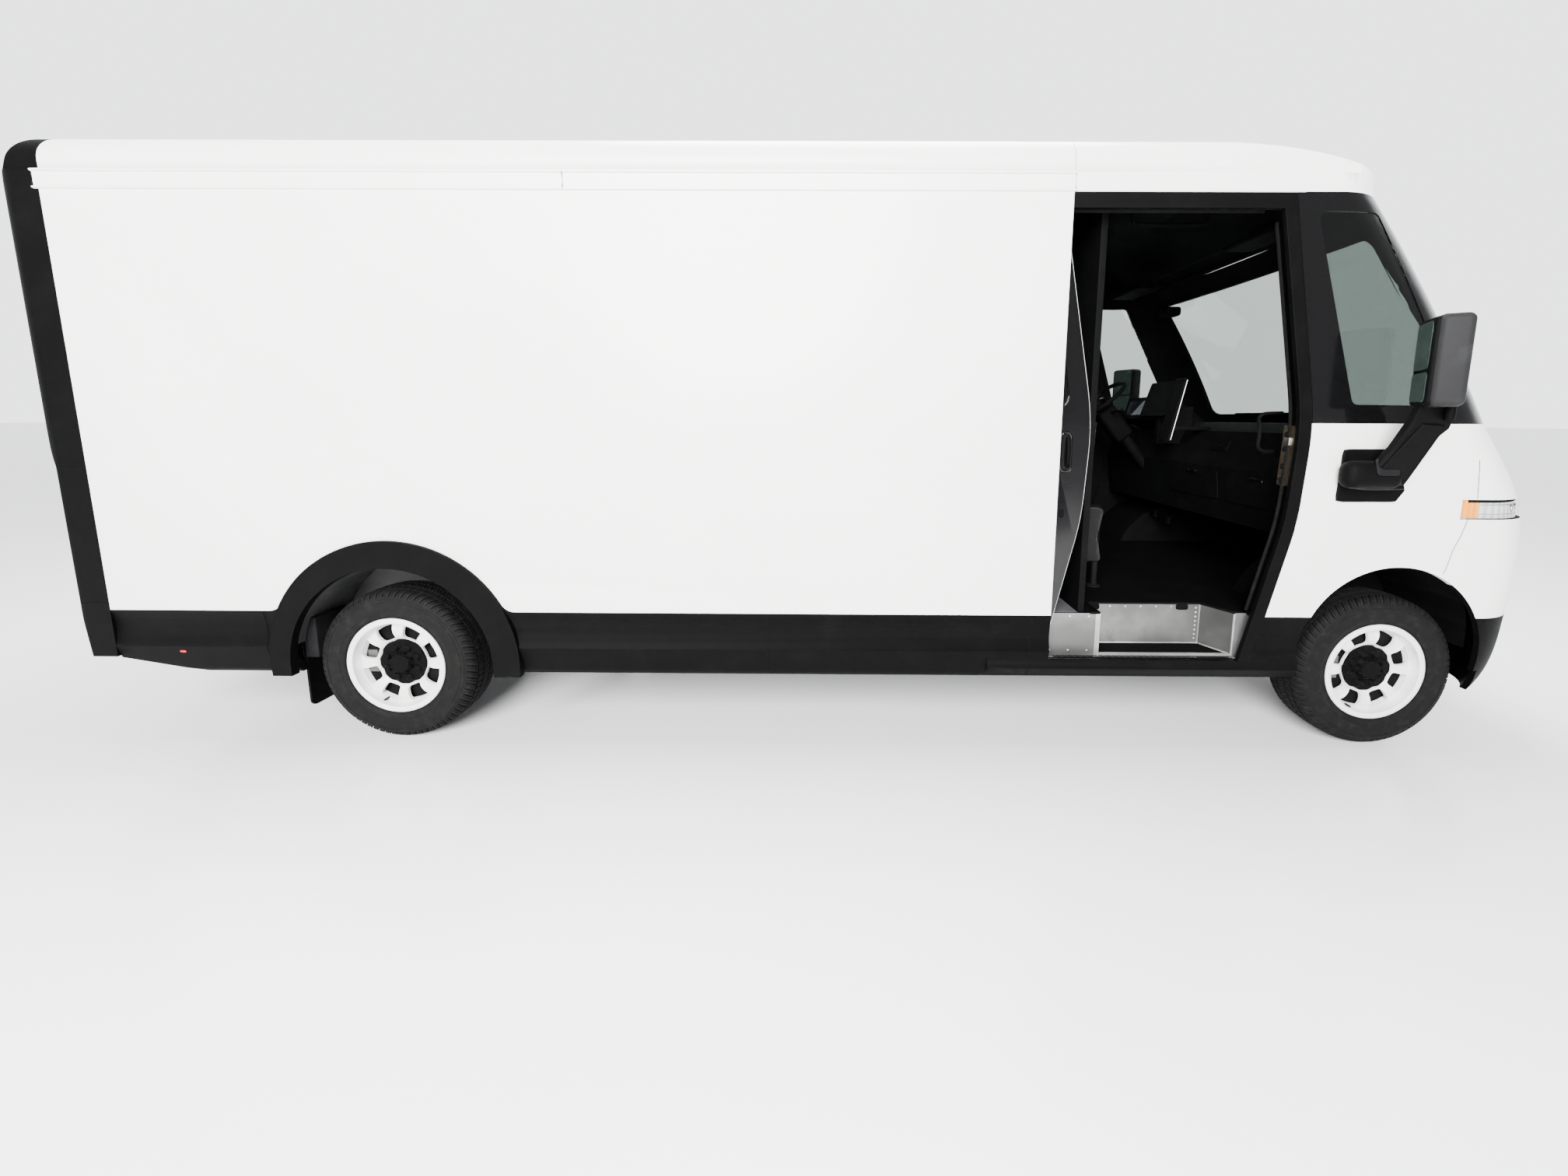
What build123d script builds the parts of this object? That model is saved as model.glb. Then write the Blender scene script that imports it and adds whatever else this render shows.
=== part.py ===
from build123d import *
from math import cos, radians, sin, sqrt
import os

os.makedirs("parts", exist_ok=True)

# An electric delivery van with a walk-in cab and pocket sliding doors on both sides.
# Frame: +X forward, +Y left, +Z up, origin on the ground below the middle of the van.
# Lengths are millimetres.

# ---------------------------------------------------------------- overall sizes
WHEELBASE = 4661
REAR_OVERHANG = 1490
FRONT_OVERHANG = 745
WIDTH = 2200
HEIGHT = 2745
LENGTH = REAR_OVERHANG + WHEELBASE + FRONT_OVERHANG
HALF = WIDTH / 2
REAR_END = -LENGTH / 2
REAR_AXLE = REAR_END + REAR_OVERHANG
FRONT_AXLE = REAR_AXLE + WHEELBASE
NOSE_TIP = FRONT_AXLE + FRONT_OVERHANG

# ---------------------------------------------------------------- clearances
SEAT = 0.3          # gap between curved faces that bear on each other
RUN = 9             # gap beside a sliding door
LATCH_GAP = 6       # gap ahead of a closed door's leading edge

# ---------------------------------------------------------------- heights
TYRE_R = 373
CHASSIS_Z = TYRE_R + 82         # underside of the frame rails
RAIL_H = 145
FLOOR_T = 40
FLOOR_Z = CHASSIS_Z + RAIL_H + FLOOR_T
STEP_Z = FLOOR_Z - 205          # tread of the entrance steps
OPENING_Z = STEP_Z + 5          # bottom of the door openings
SILL_Z = FLOOR_Z + 17           # bottom of the white side panels
SKIRT_Z = TYRE_R - 28           # bottom of the black skirts
RIDGE_Z = SKIRT_Z + 138         # ridge line along the skirts
BELT_Z = 1543                   # bottom of the side glass
EAVES_Z = HEIGHT - 242          # top of the side panels
DOOR_HEAD_Z = EAVES_Z - 66
FASCIA_H = 76

# ---------------------------------------------------------------- body panels
SKIN = 25           # outer skins and shells
LINER = 18
DOOR_T = 45
WALL = SKIN + 2 * RUN + DOOR_T + LINER      # a whole side wall, with the door's pocket in it
ROOF_T = 35
ROOF_R = 120        # round edge along the roof

DOOR_OUT = HALF - SKIN - RUN
DOOR_IN = DOOR_OUT - DOOR_T
POCKET_IN = DOOR_IN - RUN
WALL_IN = HALF - WALL

CARGO_REAR = REAR_AXLE - 1270
CARGO_FRONT = FRONT_AXLE - 1566
BULKHEAD_X = FRONT_AXLE - 1400
BULKHEAD_T = 30
CAB_FRONT = FRONT_AXLE + 330

# ---------------------------------------------------------------- side doors
DOOR_TRAVEL = 920
DOOR_LAP = 60       # the closed door stays this far inside its pocket
HEAD_X = FRONT_AXLE - 680
BELT_X = FRONT_AXLE - 514
WAIST_X = FRONT_AXLE - 538
WAIST_Z = 1100
FOOT_X = FRONT_AXLE - 688
KNEE_R = 1200
JAMB_W = 55         # black strip ahead of the opening
JAMB_LAP = 15       # the closed door reaches this far behind the strip
DOOR_Z = OPENING_Z + 12
DOOR_TOP_Z = DOOR_HEAD_Z + 30

# ---------------------------------------------------------------- wheels
TYRE_W = 225
RIM_R = 216
FLANGE_R = 234
RIM_T = 7
TRACK = WIDTH - 300
HUB_FACE = 40       # wheel disc's mounting face, outboard of the wheel's centre plane
SPINDLE_R = 30
DISC_R = 150
KINGPIN_Y = TRACK / 2 - 20
KINGPIN_R = 12
WHEEL_WINDOWS = 8

REAR_ARCH_R = TYRE_R + 102
REAR_ARCH_X = REAR_AXLE + 28
REAR_ARCH_Z = TYRE_R + 16
FLARE_R = TYRE_R + 211
FLARE_X = REAR_AXLE + 44
FLARE_Z = TYRE_R + 35
FLARE_OUT = 12
FRONT_ARCH_R = TYRE_R + 44
FRONT_ARCH_X = FRONT_AXLE + 4
FRONT_ARCH_Z = TYRE_R + 105
HOUSING_T = 12

# ---------------------------------------------------------------- cab shape
CORNER_R = 300      # plan radius of the nose corners
BOW = 4             # degrees the front face turns between its middle and a corner
ROOF_TIP = FRONT_AXLE - 121
NOSE_PROFILE = ((SILL_Z, 725), (800, 741), (963, 745), (1118, 728), (1207, 700), (1339, 631), (BELT_Z, 495))
BUMPER_Z = SKIRT_Z - 56
BUMPER_PROFILE = ((BUMPER_Z, 609), (BUMPER_Z + 51, 650), (BUMPER_Z + 191, 705), (SILL_Z, 727))
GLASS_T = 8


def finish(piece, name):
    """Label a piece and write its STEP file."""
    piece.part.label = name
    export_step(piece.part, f"parts/{name}.step")


def finish_pair(piece, name):
    """Write the right-hand piece and its mirror image on the left."""
    finish(piece, f"{name}_right")
    with BuildPart() as twin:
        mirror(piece.part, about=Plane.XZ)
    finish(twin, f"{name}_left")


def side(y):
    """Plane on the right-hand side, facing outward, y from the middle of the van."""
    return Plane.XZ.offset(y)


def box(x0, x1, y0, y1, z0, z1, mode=Mode.ADD):
    """Block between two corners, inside the part that is being built."""
    with Locations(((x0 + x1) / 2, (y0 + y1) / 2, (z0 + z1) / 2)):
        Box(x1 - x0, y1 - y0, z1 - z0, mode=mode)


def bar(start, end, radius, mode=Mode.ADD):
    """Round bar from one point to another."""
    axis = Vector(*end) - Vector(*start)
    with BuildSketch(Plane(origin=start, z_dir=axis)) as section:
        Circle(radius)
    extrude(section.sketch, amount=axis.length, mode=mode)


# ---------------------------------------------------------------- shared outlines
def cab_outline(tip, inset, rear):
    """Plan outline of the cab: straight sides, round corners and a bowed front."""
    half = HALF - inset
    radius = CORNER_R - inset
    bow = radians(BOW)
    corner_y = half - radius
    edge_y = corner_y + radius * sin(bow)
    front_r = edge_y / sin(bow)
    corner_x = tip - inset - front_r * (1 - cos(bow)) - radius * cos(bow)
    edge_x = corner_x + radius * cos(bow)
    turn = 90 - BOW
    with BuildLine() as edge:
        Line((rear, half), (corner_x, half))
        JernArc((corner_x, half), (1, 0), radius, -turn)
        ThreePointArc((edge_x, edge_y), (tip - inset, 0), (edge_x, -edge_y))
        JernArc((corner_x, -half), (1, 0), radius, turn)
        Line((corner_x, -half), (rear, -half))
        Line((rear, -half), (rear, half))
    make_face(edge.edges())


def cab_solid(profile, inset, rear, mode=Mode.ADD):
    """Solid of the cab between the heights of a profile of (height, reach ahead of the front axle)."""
    sections = []
    for height, reach in profile:
        with BuildSketch(Plane.XY.offset(height)) as section:
            cab_outline(FRONT_AXLE + reach, inset, rear)
        sections.append(section.sketch)
    loft(sections, mode=mode)


def opening_points(grow):
    """Front edge of the door opening, head to foot, moved forward and outward by grow."""
    head_slope = (BELT_X - HEAD_X) / (DOOR_HEAD_Z - BELT_Z)
    foot_slope = (WAIST_X - FOOT_X) / (WAIST_Z - OPENING_Z)
    top = (HEAD_X + grow - head_slope * grow, DOOR_HEAD_Z + grow)
    knee = (BELT_X + grow, BELT_Z)
    waist = (WAIST_X + grow, WAIST_Z)
    foot = (FOOT_X + grow - foot_slope * grow, OPENING_Z - grow)
    return top, knee, waist, foot


def opening_sketch(grow, rear, bottom=None, top=None, mode=Mode.ADD):
    """Door opening seen from the side, grown by a margin; bottom and top may be set apart."""
    head, knee, waist, foot = opening_points(grow)
    if top is not None:
        head = (head[0] - (top - head[1]) * (knee[0] - head[0]) / (head[1] - knee[1]), top)
    if bottom is not None:
        foot = (foot[0] - (foot[1] - bottom) * (waist[0] - foot[0]) / (waist[1] - foot[1]), bottom)
    with BuildLine() as edge:
        FilletPolyline(head, knee, waist, foot, radius=KNEE_R)
        Line(foot, (rear, foot[1]))
        Line((rear, foot[1]), (rear, head[1]))
        Line((rear, head[1]), head)
    make_face(edge.edges(), mode=mode)


def rear_arch_outline():
    """Black outline round the rear wheel: a round flare that runs into the skirt through fillets."""
    with BuildSketch() as outline:
        with Locations((FLARE_X, FLARE_Z)):
            Circle(FLARE_R)
        with Locations((FLARE_X, SILL_Z)):
            Rectangle(8 * FLARE_R, 2 * FLARE_R, align=(Align.CENTER, Align.MAX))
        corners = outline.vertices().filter_by(lambda v: abs(v.Y - SILL_Z) < 1 and abs(v.X - FLARE_X) < FLARE_R)
        fillet(corners, 70)
    return outline.sketch


ARCH_OUTLINE = rear_arch_outline()

# ---------------------------------------------------------------- chassis
RAIL_Y = 575
RAIL_W = 70
RAIL_T = 8
CROSS_W = 70
CROSS_DROP = 20     # top of a rail's underside to a cross member's underside
ARM_W = 50
ARM_H = 80
ARM_END = POCKET_IN - 18
JACK_X = (REAR_AXLE - 300, FRONT_AXLE - 560)
JACK_PAD = 64
JACK_T = 8

with BuildPart() as frame_rails:
    for y in (-RAIL_Y, RAIL_Y):
        with BuildSketch(Plane.YZ.offset(CARGO_REAR)):
            with Locations((y, CHASSIS_Z + RAIL_H / 2)):
                RectangleRounded(RAIL_W, RAIL_H, RAIL_T)
                Rectangle(RAIL_W - 2 * RAIL_T, RAIL_H - 2 * RAIL_T, mode=Mode.SUBTRACT)
        extrude(amount=CAB_FRONT + 260 - CARGO_REAR)
    with BuildSketch(Plane.XY.offset(CHASSIS_Z - JACK_T)):
        for x in JACK_X:
            with Locations((x, -RAIL_Y), (x, RAIL_Y)):
                RectangleRounded(2 * JACK_PAD, JACK_PAD - 8, 10)
    extrude(amount=JACK_T)
finish(frame_rails, "frame_rails")

CROSS_X = (CARGO_REAR + 40, REAR_AXLE - 450, REAR_AXLE + 520, 0, 900, FRONT_AXLE - 620, FRONT_AXLE + 480)
ARM_X = (CARGO_REAR + 40, REAR_AXLE + 560, 0, 700, FRONT_AXLE - 620)

with BuildPart() as cross_members:
    for x in CROSS_X:
        box(x - CROSS_W / 2, x + CROSS_W / 2, RAIL_W / 2 - RAIL_Y, RAIL_Y - RAIL_W / 2, CHASSIS_Z + CROSS_DROP,
            CHASSIS_Z + RAIL_H)
    for x in ARM_X:
        for y0, y1 in ((-ARM_END, -RAIL_Y - RAIL_W / 2), (RAIL_Y + RAIL_W / 2, ARM_END)):
            box(x - ARM_W / 2, x + ARM_W / 2, y0, y1, CHASSIS_Z + RAIL_H - ARM_H, CHASSIS_Z + RAIL_H)
finish(cross_members, "cross_members")

BATTERY_REAR = REAR_AXLE + 620
BATTERY_FRONT = FRONT_AXLE - 700
BATTERY_HALF = HALF - 260
BATTERY_Z = CHASSIS_Z - 160

with BuildPart() as battery_pack:
    box(BATTERY_REAR, BATTERY_FRONT, -BATTERY_HALF, BATTERY_HALF, BATTERY_Z, CHASSIS_Z)
    fillet(battery_pack.edges().filter_by(Axis.Z), 60)
    chamfer(battery_pack.faces().sort_by(Axis.Z)[0].edges(), 20)
finish(battery_pack, "battery_pack")

UNIT_BACK = 210
UNIT_AHEAD = 190
UNIT_HALF = 260

with BuildPart() as drive_unit:
    with BuildSketch(Plane.XZ.offset(-UNIT_HALF)):
        with Locations((FRONT_AXLE + (UNIT_AHEAD - UNIT_BACK) / 2, TYRE_R + 10)):
            RectangleRounded(UNIT_AHEAD + UNIT_BACK, 250, 60)
    extrude(amount=2 * UNIT_HALF)
finish(drive_unit, "drive_unit")

# ---------------------------------------------------------------- cargo body
HOUSING_R = REAR_ARCH_R + 10 + HOUSING_T
HOUSING_IN = HALF - 320
POCKET_REAR = CARGO_FRONT - DOOR_LAP - DOOR_TRAVEL - 12
POCKET_TOP_Z = DOOR_TOP_Z + 8
CROWN = 3


def cylinder_across(x, z, radius, y0, y1, mode=Mode.ADD):
    """Cylinder lying across the van, between two distances to the right of its middle."""
    with BuildSketch(side(y0)) as section:
        with Locations((x, z)):
            Circle(radius)
    extrude(section.sketch, amount=y1 - y0, mode=mode)


def roof_outline(inset, base):
    """Cross-section of the roof: fascia, side, round edge and crown."""
    edge = HALF - 10 - inset
    shoulder = HEIGHT - CROWN - ROOF_R
    radius = ROOF_R - inset
    with BuildLine() as edge_line:
        Polyline((HALF - inset, base), (HALF - inset, EAVES_Z + FASCIA_H), (edge, EAVES_Z + FASCIA_H),
                 (edge, shoulder))
        JernArc((edge, shoulder), (0, 1), radius, 90)
        ThreePointArc((edge - radius, shoulder + radius), (0, HEIGHT - inset),
                      (radius - edge, shoulder + radius))
        JernArc((radius - edge, shoulder + radius), (-1, 0), radius, 90)
        Polyline((-edge, shoulder), (-edge, EAVES_Z + FASCIA_H), (inset - HALF, EAVES_Z + FASCIA_H),
                 (inset - HALF, base), (HALF - inset, base))
    make_face(edge_line.edges())


with BuildPart() as cargo_floor:
    box(CARGO_REAR, BULKHEAD_X, -WALL_IN, WALL_IN, FLOOR_Z - FLOOR_T, FLOOR_Z)
    cylinder_across(REAR_ARCH_X, REAR_ARCH_Z, HOUSING_R + SEAT, HOUSING_IN - SEAT, HALF, mode=Mode.SUBTRACT)
    cylinder_across(REAR_ARCH_X, REAR_ARCH_Z, HOUSING_R + SEAT, -HALF, SEAT - HOUSING_IN, mode=Mode.SUBTRACT)
finish(cargo_floor, "cargo_floor")

with BuildPart() as cargo_wall:
    with BuildSketch(side(HALF - SKIN)):
        with BuildLine():
            Polyline((CARGO_REAR, SILL_Z), (CARGO_FRONT, SILL_Z), (CARGO_FRONT, EAVES_Z),
                     (CARGO_REAR, EAVES_Z), close=True)
        make_face()
        add(ARCH_OUTLINE, mode=Mode.SUBTRACT)
    extrude(amount=SKIN)
    with BuildSketch(side(WALL_IN)):
        with BuildLine():
            Polyline((CARGO_REAR, FLOOR_Z - FLOOR_T), (CARGO_FRONT, FLOOR_Z - FLOOR_T), (CARGO_FRONT, EAVES_Z),
                     (CARGO_REAR, EAVES_Z), close=True)
        make_face()
        with Locations((REAR_ARCH_X, REAR_ARCH_Z)):
            Circle(HOUSING_R + SEAT, mode=Mode.SUBTRACT)
    extrude(amount=WALL - SKIN)
    box(POCKET_REAR, CARGO_FRONT + 1, -(HALF - SKIN), -POCKET_IN, FLOOR_Z - FLOOR_T - 1, POCKET_TOP_Z,
        mode=Mode.SUBTRACT)
finish_pair(cargo_wall, "cargo_wall")

with BuildPart() as cargo_roof:
    with BuildSketch(Plane.YZ.offset(CARGO_REAR)):
        roof_outline(0, EAVES_Z)
    extrude(amount=CARGO_FRONT - CARGO_REAR)
    with BuildSketch(Plane.YZ.offset(CARGO_REAR)):
        roof_outline(ROOF_T, EAVES_Z)
    extrude(amount=CARGO_FRONT - CARGO_REAR, mode=Mode.SUBTRACT)
finish(cargo_roof, "cargo_roof")

DOORWAY_RIGHT = -230
DOORWAY_LEFT = 330
DOORWAY_Z = 2250

with BuildPart() as bulkhead:
    with BuildSketch(Plane.YZ.offset(BULKHEAD_X)):
        with Locations((0, FLOOR_Z - FLOOR_T)):
            Rectangle(2 * WALL_IN, EAVES_Z - FLOOR_Z + FLOOR_T, align=(Align.CENTER, Align.MIN))
        roof_outline(ROOF_T + SEAT, EAVES_Z)
        with Locations(((DOORWAY_RIGHT + DOORWAY_LEFT) / 2, FLOOR_Z)):
            Rectangle(DOORWAY_LEFT - DOORWAY_RIGHT, DOORWAY_Z - FLOOR_Z, align=(Align.CENTER, Align.MIN),
                      mode=Mode.SUBTRACT)
    extrude(amount=BULKHEAD_T)
finish(bulkhead, "bulkhead")

# ---------------------------------------------------------------- rear end
FRAME_Z = CHASSIS_Z - 25
REAR_CORNER_R = 110
REAR_DOOR_HALF = HALF - 180
REAR_DOOR_TOP_Z = EAVES_Z - 83
REAR_DOOR_T = 35
REAR_DOOR_X = CARGO_REAR - 75
REAR_DOOR_LAP = 30
SLATS = 9
SLAT_GROOVE = 14
TAIL_LAMP_Y = HALF - 88
TAIL_LAMP_W = 64
TAIL_LAMP_Z0 = 980
TAIL_LAMP_Z1 = 1300
TAIL_LAMP_X = REAR_END + 70
TAIL_LAMP_T = 40


def tail_lamp(sign, mode=Mode.ADD):
    """Upright rear lamp set into the rear frame."""
    y = sign * TAIL_LAMP_Y
    box(TAIL_LAMP_X, TAIL_LAMP_X + TAIL_LAMP_T, y - TAIL_LAMP_W / 2, y + TAIL_LAMP_W / 2, TAIL_LAMP_Z0,
        TAIL_LAMP_Z1, mode=mode)


with BuildPart() as rear_frame:
    with BuildSketch(Plane.YZ.offset(REAR_END)):
        roof_outline(0, EAVES_Z)
        with Locations((0, FRAME_Z)):
            Rectangle(WIDTH, EAVES_Z - FRAME_Z, align=(Align.CENTER, Align.MIN))
    extrude(amount=CARGO_REAR - REAR_END)
    with BuildSketch(Plane.XZ.offset(-HALF)):
        with BuildLine():
            back = Polyline((CARGO_REAR, HEIGHT), (CARGO_REAR, FRAME_Z), (REAR_END + 105, FRAME_Z),
                            (REAR_END + 83, 611), (REAR_END + 80, 1318))
            Spline(back @ 1, (REAR_END, 2055), (REAR_END + 78, 2611), (REAR_END + 160, HEIGHT),
                   tangents=[(-0.3, 1), (1, 0.8)])
            Line((REAR_END + 160, HEIGHT), (CARGO_REAR, HEIGHT))
        make_face()
    extrude(amount=WIDTH, mode=Mode.INTERSECT)
    with BuildSketch(Plane.XY.offset(FRAME_Z)):
        with Locations((REAR_END, 0)):
            RectangleRounded(4 * REAR_CORNER_R + 200, WIDTH, REAR_CORNER_R, align=(Align.MIN, Align.CENTER))
    extrude(amount=HEIGHT, mode=Mode.INTERSECT)
    box(REAR_END - 1, CARGO_REAR + 1, -REAR_DOOR_HALF, REAR_DOOR_HALF, FLOOR_Z, REAR_DOOR_TOP_Z,
        mode=Mode.SUBTRACT)
    box(REAR_DOOR_X, CARGO_REAR + 1, -REAR_DOOR_HALF - REAR_DOOR_LAP, REAR_DOOR_HALF + REAR_DOOR_LAP,
        FLOOR_Z, REAR_DOOR_TOP_Z + REAR_DOOR_LAP, mode=Mode.SUBTRACT)
    for sign in (-1, 1):
        tail_lamp(sign, mode=Mode.SUBTRACT)
finish(rear_frame, "rear_frame")

with BuildPart() as rear_door:
    door_top = REAR_DOOR_TOP_Z + REAR_DOOR_LAP
    box(REAR_DOOR_X, REAR_DOOR_X + REAR_DOOR_T, -REAR_DOOR_HALF - REAR_DOOR_LAP,
        REAR_DOOR_HALF + REAR_DOOR_LAP, FLOOR_Z, door_top)
    pitch = (door_top - FLOOR_Z) / SLATS
    for slat in range(1, SLATS):
        z = FLOOR_Z + slat * pitch
        box(REAR_DOOR_X - 1, REAR_DOOR_X + 10, -REAR_DOOR_HALF, REAR_DOOR_HALF, z - SLAT_GROOVE / 2,
            z + SLAT_GROOVE / 2, mode=Mode.SUBTRACT)
finish(rear_door, "rear_door")

STEP_HALF = HALF - 320
PLATE_HOLE_R = 3.5
PLATE_SPACING = 178

with BuildPart() as rear_step:
    box(REAR_END + 15, REAR_END + 200, -STEP_HALF, STEP_HALF, FRAME_Z - 55, FRAME_Z)
    fillet(rear_step.edges().filter_by(Axis.Z).group_by(Axis.X)[0], 40)
    with BuildSketch(Plane(origin=(REAR_END + 15, 0, FRAME_Z - 27), x_dir=(0, 1, 0), z_dir=(-1, 0, 0))):
        with GridLocations(PLATE_SPACING, 1, 2, 1):
            Circle(PLATE_HOLE_R)
    extrude(amount=-30, mode=Mode.SUBTRACT)
finish(rear_step, "rear_step")

# ---------------------------------------------------------------- skirts
RIDGE_LOW_Z = SKIRT_Z + 55
RIDGE_X0 = FRONT_AXLE - 2310
RIDGE_X1 = FRONT_AXLE - 1700
SKIRT_SCOOP = 14
SKIRT_TUCK = 45


def skirt_outline(ridge):
    """Cross-section of the right-hand skirt: scooped face, ridge and tucked-under lower edge."""
    out = -HALF
    inner = SKIN - HALF
    with BuildLine() as edge:
        ThreePointArc((out, SILL_Z), (out + SKIRT_SCOOP, (SILL_Z + ridge) / 2), (out, ridge))
        Polyline((out, ridge), (out + SKIRT_TUCK * 0.7, SKIRT_Z + 18), (out + SKIRT_TUCK, SKIRT_Z),
                 (inner + SKIRT_TUCK, SKIRT_Z), (inner + SKIRT_TUCK * 0.9, SKIRT_Z + 18),
                 (inner, min(ridge - 22, OPENING_Z - 5)),
                 (inner, SILL_Z), (out, SILL_Z))
    make_face(edge.edges())


with BuildPart() as side_skirt:
    with BuildSketch(Plane.YZ.offset(CARGO_REAR)):
        skirt_outline(RIDGE_Z)
    extrude(amount=RIDGE_X0 - CARGO_REAR)
    drop = []
    for step in range(5):
        share = step / 4
        ease = share * share * (3 - 2 * share)
        with BuildSketch(Plane.YZ.offset(RIDGE_X0 + share * (RIDGE_X1 - RIDGE_X0))) as station:
            skirt_outline(RIDGE_Z + ease * (RIDGE_LOW_Z - RIDGE_Z))
        drop.append(station.sketch)
    loft(drop)
    with BuildSketch(Plane.YZ.offset(RIDGE_X1)):
        skirt_outline(RIDGE_LOW_Z)
    extrude(amount=FRONT_ARCH_X - RIDGE_X1)
    with BuildSketch(side(HALF - SKIN)):
        add(ARCH_OUTLINE)
        with Locations((FLARE_X, SILL_Z)):
            Rectangle(8 * FLARE_R, 4 * FLARE_R, align=(Align.CENTER, Align.MAX), mode=Mode.SUBTRACT)
    extrude(amount=SKIN)
    with BuildSketch(side(HALF - SKIN)):
        with Locations((FLARE_X, FLARE_Z)):
            Circle(FLARE_R)
        with Locations((FLARE_X, SKIRT_Z)):
            Rectangle(8 * FLARE_R, 4 * FLARE_R, align=(Align.CENTER, Align.MAX), mode=Mode.SUBTRACT)
    extrude(amount=SKIN + FLARE_OUT)
    cylinder_across(REAR_ARCH_X, REAR_ARCH_Z, REAR_ARCH_R, HALF - 2 * WALL, HALF + 2 * WALL, mode=Mode.SUBTRACT)
    cylinder_across(FRONT_ARCH_X, FRONT_ARCH_Z, FRONT_ARCH_R, HALF - 2 * WALL, HALF + 2 * WALL,
                    mode=Mode.SUBTRACT)
    box(FRONT_ARCH_X, NOSE_TIP, -HALF - 50, 0, 0, BELT_Z, mode=Mode.SUBTRACT)
    with BuildSketch(side(HALF - 2 * WALL)):
        opening_sketch(JAMB_W, CARGO_FRONT, bottom=OPENING_Z, top=EAVES_Z)
    extrude(amount=4 * WALL, mode=Mode.SUBTRACT)
    with BuildSketch(side(HALF - 2 * WALL)):
        with BuildLine():
            Polyline((REAR_AXLE - 900, SKIRT_Z), (CARGO_REAR, FRAME_Z - 10), (CARGO_REAR, 0),
                     (REAR_AXLE - 900, 0), close=True)
        make_face()
    extrude(amount=4 * WALL, mode=Mode.SUBTRACT)
finish_pair(side_skirt, "side_skirt")

# ---------------------------------------------------------------- wheel housings
FRONT_HOUSING_R = FRONT_ARCH_R + 13 + HOUSING_T
FRONT_HOUSING_IN = HALF - 478


def housing(x, z, radius, inner, wall_low):
    """Right-hand wheel housing: a half barrel with an end wall towards the middle of the van."""
    low = z - radius - 1
    cylinder_across(x, z, radius, inner, HALF - SKIN)
    cylinder_across(x, z, radius - HOUSING_T, inner + HOUSING_T, HALF, mode=Mode.SUBTRACT)
    box(x - radius - 1, x + radius + 1, -HALF, -inner - HOUSING_T, low, RIDGE_Z, mode=Mode.SUBTRACT)
    box(x - radius - 1, x + radius + 1, -inner - HOUSING_T, 1 - inner, low, wall_low, mode=Mode.SUBTRACT)


with BuildPart() as rear_housing:
    housing(REAR_ARCH_X, REAR_ARCH_Z, HOUSING_R, HOUSING_IN, RIDGE_Z)
with BuildPart() as front_housing:
    housing(FRONT_ARCH_X, FRONT_ARCH_Z, FRONT_HOUSING_R, FRONT_HOUSING_IN, FLOOR_Z - FLOOR_T)
    cab_solid(((BUMPER_Z, 600), (BELT_Z, 600)), SKIN + 1, CARGO_FRONT, mode=Mode.INTERSECT)
with BuildPart() as wheel_housings:
    for barrel in (rear_housing, front_housing):
        add(barrel.part)
        mirror(barrel.part, about=Plane.XZ)
finish(wheel_housings, "wheel_housings")

FLAP_Z = 150
FLAP_W = 195
FLAP_X = REAR_ARCH_X - sqrt(HOUSING_R ** 2 - (RIDGE_Z - REAR_ARCH_Z) ** 2)

with BuildPart() as mudflap:
    with BuildSketch(Plane.YZ.offset(FLAP_X)):
        with Locations((-TRACK / 2 + FLAP_W / 10, FLAP_Z)):
            flap = Rectangle(FLAP_W, RIDGE_Z - FLAP_Z, align=(Align.CENTER, Align.MIN))
        fillet(flap.vertices().group_by(Axis.Y)[0], 30)
    extrude(amount=HOUSING_T)
finish_pair(mudflap, "mudflap")

# ---------------------------------------------------------------- cab shell
GLASS_PROFILE = ((BELT_Z, 495), (2020, 215), (EAVES_Z, -121))
SCREEN_SILL_Z = 1600
SCREEN_HEAD_Z = EAVES_Z - 103
SCREEN_SILL_HALF = HALF - 185
SCREEN_HEAD_HALF = HALF - 265
SLOT_Z0 = 1118
SLOT_Z1 = 1207
SLOT_REAR = FRONT_AXLE + 240
SLOT_INNER = HALF - 670
LAMP_INSET = 14
LAMP_T = 60


def behind_jamb(mode=Mode.SUBTRACT):
    """Everything behind the black strip ahead of the door openings, across the van."""
    with BuildSketch(side(-HALF - 1)) as outline:
        opening_sketch(JAMB_W, CARGO_REAR, bottom=0, top=HEIGHT)
    extrude(outline.sketch, amount=WIDTH + 2, mode=mode)


def screen_sketch(shrink):
    """Windscreen seen from the front."""
    with BuildLine() as edge:
        Polyline((-SCREEN_SILL_HALF, SCREEN_SILL_Z), (SCREEN_SILL_HALF, SCREEN_SILL_Z),
                 (SCREEN_HEAD_HALF, SCREEN_HEAD_Z), (-SCREEN_HEAD_HALF, SCREEN_HEAD_Z), close=True)
    face = make_face(edge.edges())
    fillet(face.vertices(), 55)
    if shrink:
        offset(amount=-shrink, mode=Mode.REPLACE)


def quarter_sketch(shrink):
    """Side glass ahead of a door, seen from the right."""
    with BuildLine() as edge:
        Polyline((FRONT_AXLE - 541, EAVES_Z - 75), (FRONT_AXLE - 302, BELT_Z + 82), (FRONT_AXLE + 160, BELT_Z + 78),
                 (FRONT_AXLE - 270, EAVES_Z - 79), close=True)
    face = make_face(edge.edges())
    fillet(face.vertices(), 32)
    if shrink:
        offset(amount=-shrink, mode=Mode.REPLACE)


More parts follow.
